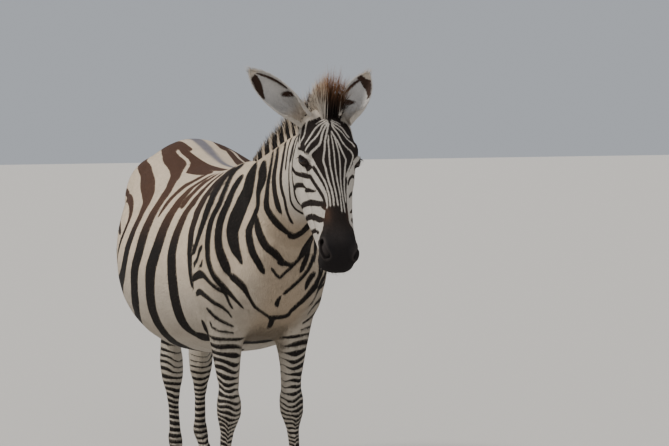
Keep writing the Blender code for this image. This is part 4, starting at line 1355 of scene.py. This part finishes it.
maneForm = {
    "locks": 8000,
    "back": (-0.06, 0.42, 0.90),  # the way the locks stand by the withers
    "front": (-0.02, -0.16, 1.0),
    "poll": (0.645, 0.685),  # where the forelock takes over, in -Y
    "longest": 0.24,
    "halfWidths": (0.0012, 0.0024),
    "sway": 0.07,
    "bands": (  # middle in Y, and half width
        (-0.205, 0.017), (-0.243, 0.014), (-0.288, 0.020), (-0.348, 0.021), (-0.412, 0.020), (-0.464, 0.015),
        (-0.507, 0.014), (-0.549, 0.013), (-0.590, 0.013), (-0.630, 0.012), (-0.668, 0.012),
    ),
}


def manePiece(skin, tree, rng):
    # each lock's tip lies on the mane's outline, and its root where that falls back on the crest
    bm = copyOfNode("mane")
    bmesh.ops.triangulate(bm, faces=bm.faces)
    corners = np.array([[vertex.co for vertex in face.verts] for face in bm.faces])
    bm.free()
    areas = np.linalg.norm(np.cross(corners[:, 1] - corners[:, 0], corners[:, 2] - corners[:, 0]), axis=1)
    count = fewer(maneForm["locks"])
    picks = rng.choice(len(areas), count, p=areas / areas.sum())
    tips = (corners[picks] * cornerShares(count, rng)).sum(1)
    forward = smooth01(-tips[:, 1], 0.45, 0.74)[:, None]
    stand = unit(np.array(maneForm["back"]) * (1 - forward) + np.array(maneForm["front"]) * forward)
    roots = np.full((count, 3), np.nan)
    for i in range(count):
        hit = tree.ray_cast(Vector(tips[i]), Vector(-stand[i]))[0]
        if hit is not None and 0.012 < (hit - Vector(tips[i])).length < maneForm["longest"]:
            roots[i] = hit
    good = ~np.isnan(roots[:, 0]) & (toHead(roots)[:, 1] < 0.012)
    roots, tips, stand = roots[good], tips[good], stand[good]
    count = len(roots)
    corners, faces = spikeTemplate(3, 5)
    wide, deep, z = (corners[:, k][None, :, None] for k in range(3))
    reach = np.linalg.norm(tips - roots, axis=1) * rng.uniform(0.80, 1.06, count)
    sway = rng.normal(0, maneForm["sway"], (count, 3)) * reach[:, None]
    beside = toHead(roots)[:, 0]
    poll = smooth01(-roots[:, 1], *maneForm["poll"])
    sway += np.outer(poll * (beside + 0.01) * 0.7, headToWorld.to_3x3() @ Vector((1, 0, 0)))
    across = unit(np.cross(stand, np.array((0.15, 1.0, 0.3))))
    forth = np.cross(stand, across)
    width = rng.uniform(*maneForm["halfWidths"], count)[:, None, None]
    body = (roots - stand * 0.006)[:, None, :] + (stand * reach[:, None])[:, None, :] * z
    body = body + sway[:, None, :] * z * z
    body = body + (across[:, None, :] * wide + forth[:, None, :] * deep) * width
    piece = meshOfCopies("mane_hair", body, faces, nearestMaps(skin, tree, roots))
    mark = np.full(count, -0.012)
    for middle, half in maneForm["bands"]:
        mark = np.maximum(mark, half - np.abs(roots[:, 1] - middle))
    # the forelock is light on her right and dark on her left
    darkShare = 0.22 + 0.75 * smooth01(beside, -0.024, 0.006)
    mark = np.where(poll > 0.5, 0.024 * (rng.random(count) < darkShare) - 0.012, mark)
    mark += rng.normal(0, 0.0028, count)
    dressCopies(piece, roots, mark, rng)
    weathered = np.clip((tips[:, 2] - 1.49) / 0.10, 0.12, 1.0) * rng.uniform(0.6, 1.0, count)
    weathered *= 0.35 + 0.65 * poll
    up = smooth01(corners[:, 2][None, :] * reach[:, None], 0.035, 0.13)
    tintTips(piece.data, (up * weathered[:, None]).ravel())
    print("mane locks:", count)
    return piece


def tintTips(mesh, share):
    # the hair's last part weathers to rust
    for name, target in (("darkHair", "rustTip"), ("lightHair", "paleTip")):
        colours = np.empty(len(mesh.vertices) * 4, np.float32)
        mesh.attributes[name].data.foreach_get("color", colours)
        colours = colours.reshape(-1, 4)
        colours[:, :3] += (tone(target) - colours[:, :3]) * share[:, None]
        mesh.attributes[name].data.foreach_set("color", colours.ravel())


def nearestMaps(skin, tree, roots):
    _, spots = triangleTable(skin.data)
    found = []
    for root in roots:
        index = tree.find_nearest(Vector(root))[2]
        found.append(spots[min(index, len(spots) - 1)].mean(0))
    return np.array(found)


tailForm = {
    "locks": 420,
    "start": (0.010, 0.006),  # radius of the ring where the locks leave the dock, and how much it varies
    "up": 0.16,  # how far up the dock they start, and how far short of the tip they end
    "end": (0.012, 0.016),
    "belly": 0.012,
    "wave": 0.0025,
    "halfWidths": (0.0016, 0.0032),
    "lightShare": 0.12,
}


def tailPiece(skin, tree, rng):
    low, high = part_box("tail_tuft")
    dock = places(bpy.data.objects["tail"].data)
    count = fewer(tailForm["locks"])
    corners, faces = spikeTemplate(3, 12)
    wide, deep, z = (corners[:, k][None, :, None] for k in range(3))
    share = rng.random(count)
    turn = rng.random(count) * 2 * math.pi
    ring = np.sqrt(rng.random(count))
    tight = rng.random(count) ** 0.5
    outward = np.stack((np.cos(turn), np.sin(turn)), 1)
    middle = np.array(((low[0] + high[0]) / 2, (low[1] + high[1]) / 2))
    slices = np.linspace(dock[:, 2].min(), dock[:, 2].max(), 12)
    behind = [dock[np.abs(dock[:, 2] - level) < 0.05, 1].mean() for level in slices]
    start = np.zeros((count, 3))
    start[:, :2] = outward * (tailForm["start"][0] + tailForm["start"][1] * ring)[:, None]
    start[:, 2] = high[2] + tailForm["up"] * share
    start[:, 0] += middle[0]
    start[:, 1] += np.interp(start[:, 2], slices, behind)
    end = np.zeros((count, 3))
    end[:, :2] = middle + outward * ring[:, None] * np.array(tailForm["end"])
    end[:, 2] = low[2] + tailForm["up"] * (1 - tight)
    body = start[:, None, :] * (1 - z) + end[:, None, :] * z
    outward = np.concatenate((outward * ring[:, None], np.zeros((count, 1))), 1)[:, None, :]
    body += outward * np.sin(z * math.pi) ** 0.8 * tailForm["belly"]
    body += outward[:, :, (1, 0, 2)] * np.sin(z * 9 + turn[:, None, None] * 3) * tailForm["wave"]
    width = rng.uniform(*tailForm["halfWidths"], count)[:, None, None]
    body[:, :, 0] -= (wide * width)[:, :, 0]
    body[:, :, 1] += (deep * width)[:, :, 0]
    piece = meshOfCopies("tail_hair", body, faces, nearestMaps(skin, tree, start))
    mark = np.where(rng.random(count) < tailForm["lightShare"], -0.02, 0.02)
    dressCopies(piece, start, mark, rng)
    return piece


# the coat

coatParts = {
    # tufts, length, half width, lift as an angle's tangent, where it grows, and the side of the body
    "coat_head": (46000, 0.0065, 0.00055, 0.16, "head", 0),
    "coat_neck_left": (47000, 0.0095, 0.00075, 0.15, "neck", 1),
    "coat_neck_right": (47000, 0.0095, 0.00075, 0.15, "neck", -1),
    "coat_trunk_left": (49000, 0.0105, 0.0009, 0.13, "trunk", 1),
    "coat_trunk_right": (49000, 0.0105, 0.0009, 0.13, "trunk", -1),
    "coat_forelegs": (30000, 0.0075, 0.0007, 0.15, "forelegs", 0),
    "coat_hindlegs": (34000, 0.0075, 0.0007, 0.15, "hindlegs", 0),
}


def onLegs(where):
    return 1.0 * (where[:, 2] < 0.62) * (np.abs(where[:, 1] - 0.21) > 0.34) * (where[:, 2] > 0.050)


def onRegion(region, side, where):
    # 1 where a coat piece grows, 0 elsewhere
    if region == "head":
        return headWeight(where)
    if region == "forelegs":
        return onLegs(where) * (where[:, 1] < 0.1)
    if region == "hindlegs":
        return onLegs(where) * (where[:, 1] >= 0.1)
    grows = 1.0 * (onLegs(where) < 0.5) * (where[:, 2] > 0.5)
    middle = np.zeros(len(where))
    if region == "neck":
        grows *= (headWeight(where) < 0.5) * (where[:, 1] < -0.20)
        middle = 0.20 * np.maximum(0, where[:, 2] - 1.06)
    else:
        grows *= where[:, 1] >= -0.20
    return grows * (where[:, 0] > middle if side > 0 else where[:, 0] <= middle)


def bareness(where):
    # 0 where no tuft may grow: the eyes' openings, the nostrils and the lips' edges
    local = toHead(where)
    clear = np.ones(len(where))
    for side in sides:
        _, far, _, tilt, _, _, almond = eyePlaces(where, side)
        clear[(far < 0.040) & (tilt < 1.3) & (almond < 1.5)] = 0
    clear[roundNostrils(local, 0.042, 0.028) & (local[:, 1] > 0.43)] = 0
    clear *= 1 - 0.75 * smooth01(local[:, 1], 0.40, 0.46) * headWeight(where)
    return clear


def longHair(where):
    # extra length under the chest, on the chin, round the ears' roots, on the fetlocks and over the hooves
    extra = 0.014 * smooth01(-where[:, 2], -0.74, -0.66) * smooth01(-where[:, 1], 0.10, 0.24)
    extra *= smooth01(-np.abs(where[:, 0]), -0.085, -0.055) * (where[:, 2] > 0.60)
    local = toHead(where)
    chin = headWeight(where) * smooth01(-local[:, 2], 0.12, 0.16) * smooth01(local[:, 1], 0.44, 0.49)
    extra += 0.006 * chin
    for form in earForms.values():
        extra += 0.009 * np.exp(-((np.linalg.norm(where - np.array(form["root"]), axis=1) / 0.045) ** 2))
    fetlock = np.exp(-(((where[:, 2] - 0.125) / 0.03) ** 2)) * onLegs(where)
    extra += 0.004 * fetlock + 0.005 * np.exp(-(((where[:, 2] - 0.054) / 0.010) ** 2)) * onLegs(where)
    return extra


def growCoat(name, skin, strokes, rng):
    count, length, width, lift, region, side = coatParts[name]
    where = places(skin.data)
    weight = onRegion(region, side, where) * bareness(where)
    corners, _ = triangleTable(skin.data)
    whole = (triangleAreas(where, corners) * weight[corners].mean(1)).sum()
    roots, leans, maps = scatter(skin, weight * fewer(count) / whole, rng)
    extra = longHair(roots)
    lengths = (length + extra) * rng.uniform(0.75, 1.25, len(roots))
    widths = width * rng.uniform(0.8, 1.2, len(roots))
    lifts = lift * rng.uniform(0.6, 1.5, len(roots)) + extra * 12
    template = spikeTemplate(3, 1)
    piece = layHair(name, template, roots, leans, maps, hairFlow(roots), lengths, widths, lifts, 0.45, rng)
    dressCopies(piece, roots, markAt(roots, strokes), rng)
    return piece


# ears, eyes, hooves

earForms = {
    "left": {"root": (0.150, -0.734, 1.464), "reach": (0.118, 0.085, 0.150)},
    "right": {"root": (-0.004, -0.721, 1.466), "reach": (-0.166, 0.060, 0.158)},
}
earLevels = (-0.1, 0.1, 0.3, 0.5, 0.7, 0.86, 0.96, 1.0)  # up the ear, for its half widths and half depths
earShape = {
    "faces": (-0.33, -0.94, 0.05),
    "widths": (earLevels, (0.030, 0.037, 0.046, 0.046, 0.040, 0.028, 0.014, 0.004)),
    "depths": (earLevels, (0.032, 0.036, 0.040, 0.036, 0.027, 0.017, 0.008, 0.003)),
    "rims": ((0, 0.5, 1), (2.0, 1.45, 0.9)),  # how far round the channel its rims lie
    "rimEnds": ((0, 0.5, 1), (2.4, 1.75, 1.5)),
    "hairs": 62000,  # for a square metre
    "halfWidth": 0.0007,
}


def earPlaces(where, normals, side):
    # how far up the ear, the angle round its channel towards the outer rim, and whether it is the inner face
    form = earForms[side]
    reach = Vector(form["reach"])
    axis = reach.normalized()
    faces = Vector(earShape["faces"])
    faces = (faces - axis * faces.dot(axis)).normalized()
    across = axis.cross(faces).normalized()
    rel = where - np.array(form["root"])
    up = rel @ np.array(axis) / reach.length
    sideways, deep = rel @ np.array(across), rel @ np.array(faces)
    wide, thick = (np.interp(up, *earShape[name]) for name in ("widths", "depths"))
    angle = np.arctan2(sideways / wide, -deep / thick)
    offset = np.outer(sideways, across) + np.outer(deep, faces)
    inner = np.sum(normals * offset, axis=1) < 0
    return up, angle * sides[side], inner


earTips = {
    # how far round the dark patch under the tip reaches, from near the root to near the tip
    "right": ((0.55, 0.70, 0.80, 0.90), (1.10, 0.35, 0.0, -0.35)),
    "left": ((0.62, 0.74, 0.80, 0.93), (1.10, 0.60, -0.2, -2.5)),
}


def earColours(where, normals, side):
    up, angle, inner = earPlaces(where, normals, side)
    rim = np.interp(up, *earShape["rims"])
    tip = (angle - np.interp(up, *earTips[side])) * 0.014
    tip = np.minimum(tip, np.minimum(up - 0.56, 0.90 - up) * 0.12)
    line = np.minimum(0.0022 - np.abs(rim - 0.30 + angle) * 0.010, np.minimum(up - 0.42, 0.90 - up) * 0.1)
    middle = -0.80 if side == "right" else -0.45
    # a dark patch inside the ear's channel, partway up
    innerPatch = 0.0055 * (1 - np.hypot((up - 0.40 - (angle + 0.3) * 0.12) / 0.060, (angle - middle) / 0.60))
    inside = np.maximum(np.maximum(tip, line), innerPatch)
    if side == "left":
        inside = np.maximum(inside, (0.042 - np.abs(up - 0.855)) * 0.12)
    outside = np.maximum((0.13 - np.abs(up - 0.70)) * 0.2, (0.045 - np.abs(up - 0.36)) * 0.2)
    outside = np.minimum(outside, (rim * 0.92 - np.abs(angle)) * 0.02)
    mark = np.where(inner, inside, outside)
    light = np.tile(tone("earInside"), (len(where), 1))
    blendTone(light, "cream", smooth01(up, 0.84, 0.97))
    blendTone(light, "warmTan", smooth01(-up, -0.26, -0.02) * 0.7)
    blendTone(light, "face", (~inner) * 0.8)
    dark = np.tile(tone("faceDark"), (len(where), 1))
    blendTone(dark, "rust", np.where(inner, 0.35, 0.0))
    return mark, light, dark


def earPiece(side):
    piece = newPiece("ear_skin_" + side, copyOfNode("ear_" + side))
    rounded = piece.modifiers.new("rounded", "SUBSURF")
    rounded.levels = 2
    rounded.render_levels = 2
    applyModifiers(piece)
    triangulate(piece)
    where = places(piece.data)
    mark, light, dark = earColours(where, normalsOf(piece.data), side)
    setNumbers(piece.data, "mark", mark)
    setHair(piece.data, light, dark)
    unwrap(piece)
    smoothFaces(piece)
    return piece


def earHair(side, ear, rng):
    # a fringe along the rims, and pale hair inside from the root
    density = np.full(len(ear.data.vertices), float(fewer(earShape["hairs"])))
    roots, leans, maps = scatter(ear, density, rng)
    up, angle, inner = earPlaces(roots, leans, side)
    axis, faces = (unit(np.array(way)[None]) for way in (earForms[side]["reach"], earShape["faces"]))
    rim = smooth01(np.abs(angle), np.interp(up, *earShape["rims"]), np.interp(up, *earShape["rimEnds"]))
    length = 0.006 + 0.010 * rim + 0.022 * inner * smooth01(-up, -0.55, -0.1) * rng.random(len(roots))
    length += 0.006 * smooth01(up, 0.9, 1.0)
    length *= rng.uniform(0.7, 1.2, len(roots))
    forward = inner * 0.9 * smooth01(-up, -0.6, 0.0) + rim * 0.7
    flow = axis + faces * forward[:, None]
    width = np.full(len(roots), earShape["halfWidth"])
    lift = 0.25 + 0.3 * rim
    template = spikeTemplate(3, 2)
    piece = layHair("ear_hair_" + side, template, roots, leans, maps, flow, length, width, lift, 0.3, rng)
    mark, light, dark = earColours(roots, leans, side)
    mark = np.where((rim > 0.5) & (up > 0.06), np.minimum(mark, -0.002), mark)
    dressTufts(piece, roots, mark, light, dark, np.clip(rng.normal(1.05, 0.14, len(roots)), 0.6, 1.5))
    return piece


eyeballForm = {
    "gap": 0.0006,  # inside the lids' own sphere
    "bulge": 0.0016,
    "ground": (0.012, 0.008, 0.007),
    "iris": (0.022, 0.010, 0.005),
    "pupil": (0.002, 0.002, 0.003),
    "pupilHalf": (0.40, 0.17),  # level and upright, as shares of the radius
}


def eyePiece(side):
    centre = np.array(middleOf("eye_" + side))
    looks = eyeAxes(sides[side])[0]
    bm = bmesh.new()
    bmesh.ops.create_icosphere(bm, subdivisions=5, radius=head["eyeRadius"] - eyeballForm["gap"])
    piece = newPiece("eyeball_" + side, bm)
    where = places(piece.data)
    way = unit(where)
    outward = way @ looks
    bulge = eyeballForm["bulge"] * smooth01(outward, 0.80, 1.0)
    setPlaces(piece.data, centre + where + way * bulge[:, None])
    level = unit(np.cross(looks, (0.0, 0.0, 1.0))[None])[0]
    wide, tall = eyeballForm["pupilHalf"]
    pupil = 1 - smooth01(np.hypot(way @ level / wide, way @ np.cross(looks, level) / tall), 0.85, 1.1)
    colour = np.tile(np.array(eyeballForm["ground"]), (len(where), 1))
    for name, share in (("iris", smooth01(outward, 0.70, 0.78)), ("pupil", pupil)):
        colour += (np.array(eyeballForm[name]) - colour) * share[:, None]
    setColours(piece.data, "hue", colour)
    smoothFaces(piece)
    return piece


bristleForm = {
    "lashes": 70,
    "lashLengths": (0.010, 0.016),
    "lips": 16000,  # for a square metre
    "lipLengths": (0.008, 0.020),
    "lightShare": 0.6,
    "halfWidth": 0.0004,
}


def bristlePiece(skin, tree, rng):
    # lashes on the upper lids, and bristles on the lips and chin
    roots, leans, flows, lengths, marks = [], [], [], [], []
    for side, sign in sides.items():
        centre = np.array(middleOf("eye_" + side))
        looks, long, upward = eyeAxes(sign)
        for across in rng.uniform(-0.92, 0.92, bristleForm["lashes"]):
            tall = eyeForm["halfUp"] * 1.12 * math.sqrt(1 - across * across)
            turn = (long * across * eyeForm["halfLong"] + upward * tall) / head["eyeRadius"]
            way = looks + turn
            way /= np.linalg.norm(way)
            roots.append(centre + way * (head["eyeRadius"] + eyeForm["lid"] * 0.8))
            leans.append(way)
            flows.append(turn * 0.6 - upward * 1.0 + looks * 0.2)
            lengths.append(rng.uniform(*bristleForm["lashLengths"]))
            marks.append(0.02)
    where = places(skin.data)
    local = toHead(where)
    lips = headWeight(where) * smooth01(local[:, 1], 0.44, 0.48) * smooth01(-local[:, 2], 0.075, 0.12)
    found, normals, _ = scatter(skin, lips * bristleForm["lips"], rng)
    down = np.array(headToWorld.to_3x3() @ Vector((0, 1, -0.4)))
    roots, leans = np.concatenate((roots, found)), np.concatenate((leans, normals))
    flows = np.concatenate((flows, np.tile(down, (len(found), 1))))
    lengths = np.concatenate((lengths, rng.uniform(*bristleForm["lipLengths"], len(found))))
    light = rng.random(len(found)) < bristleForm["lightShare"]
    marks = np.concatenate((marks, np.where(light, -0.02, 0.02)))
    maps = nearestMaps(skin, tree, roots)
    widths = np.full(len(roots), bristleForm["halfWidth"])
    template = spikeTemplate(3, 3)
    piece = layHair("bristles", template, roots, leans, maps, flows, lengths, widths, 0.9, 0.3, rng)
    dressCopies(piece, roots, marks, rng)
    return piece


hoofForm = {
    "voxel": 0.003,
    "ring": 0.0004,  # how far the growth rings stand out
    "rings": 820,
    "low": (0.020, 0.018, 0.017),  # colours of the rings
    "high": (0.075, 0.068, 0.060),
}


def hoofPiece(name):
    piece = newPiece("horn_" + name, copyOfNode(name))
    remesh(piece, hoofForm["voxel"])
    where = places(piece.data)
    rings = np.sin(where[:, 2] * hoofForm["rings"] + np.sin(where[:, 0] * 60) * 0.6)
    rings *= hoofForm["ring"] * smooth01(where[:, 2], 0.004, 0.012)
    where += normalsOf(piece.data) * (1, 1, 0.2) * rings[:, None]
    where[:, 2] = np.maximum(where[:, 2], 0.0)
    setPlaces(piece.data, where)
    smoothFaces(piece)
    return piece


def eyeMaterial():
    material = plainMaterial("eye_wet", (0.03, 0.02, 0.015), 0.04)
    tree = material.node_tree
    shader = tree.nodes["Principled BSDF"]
    hue = attributeNode(tree, "hue")
    tree.links.new(hue.outputs["Color"], shader.inputs["Base Color"])
    shader.inputs["Specular IOR Level"].default_value = 0.4
    return material


def hornMaterial():
    material = plainMaterial("hoof_horn", (0.06, 0.055, 0.05), 0.55)
    tree = material.node_tree
    shader = tree.nodes["Principled BSDF"]
    rings = noiseNode(tree, 90, 3.0, (0.3, 0.3, 2.5))
    colour = mixColours(tree, rings.outputs["Fac"], hoofForm["low"], hoofForm["high"])
    tree.links.new(colour, shader.inputs["Base Color"])
    return material


# everything together

def handOver(piece, material, slot, *nodes):
    # nodes are the frame's own that the piece stands in for
    piece.data.materials.append(material)
    if nodes:
        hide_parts(*nodes)
    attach(piece, "root")


makeCamera()
makeLight()
makeFloor()
markings = makeMarkingsGroup()
skinHair = coatMaterial("coat_skin", markings)
tuftHair = coatMaterial("coat_tufts", markings)

skin = makeSkin()
shapeFace(skin)
shapeEyes(skin)
smoothFaces(skin)
skinTree = treeOf(skin.data)
strokes = dropStrokes(skinTree)
print("strokes dropped:", len(strokes))
dressSkin(skin.data, strokes)
handOver(skin, skinHair, "coat", *skinForm["flesh"])
print("skin painted")

rng = np.random.default_rng(11)
handOver(manePiece(skin, skinTree, rng), tuftHair, "mane_hair", "mane")
handOver(tailPiece(skin, skinTree, rng), tuftHair, "tail_hair", "tail_tuft")
print("mane and tail made")

handOver(bristlePiece(skin, skinTree, rng), tuftHair, "coat")
wetEye = eyeMaterial()
horn = hornMaterial()
for side in sides:
    ear = earPiece(side)
    handOver(ear, skinHair, "ear_coat", "ear_" + side)
    handOver(earHair(side, ear, rng), tuftHair, "ear_coat")
    handOver(eyePiece(side), wetEye, "eyeball", "eye_" + side)
for name in [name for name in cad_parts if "hoof" in name]:
    handOver(hoofPiece(name), horn, "hoof_horn", name)
print("ears, eyes and hooves made")

for name in coatParts:
    handOver(growCoat(name, skin, strokes, rng), tuftHair, "coat")
print("coat grown")
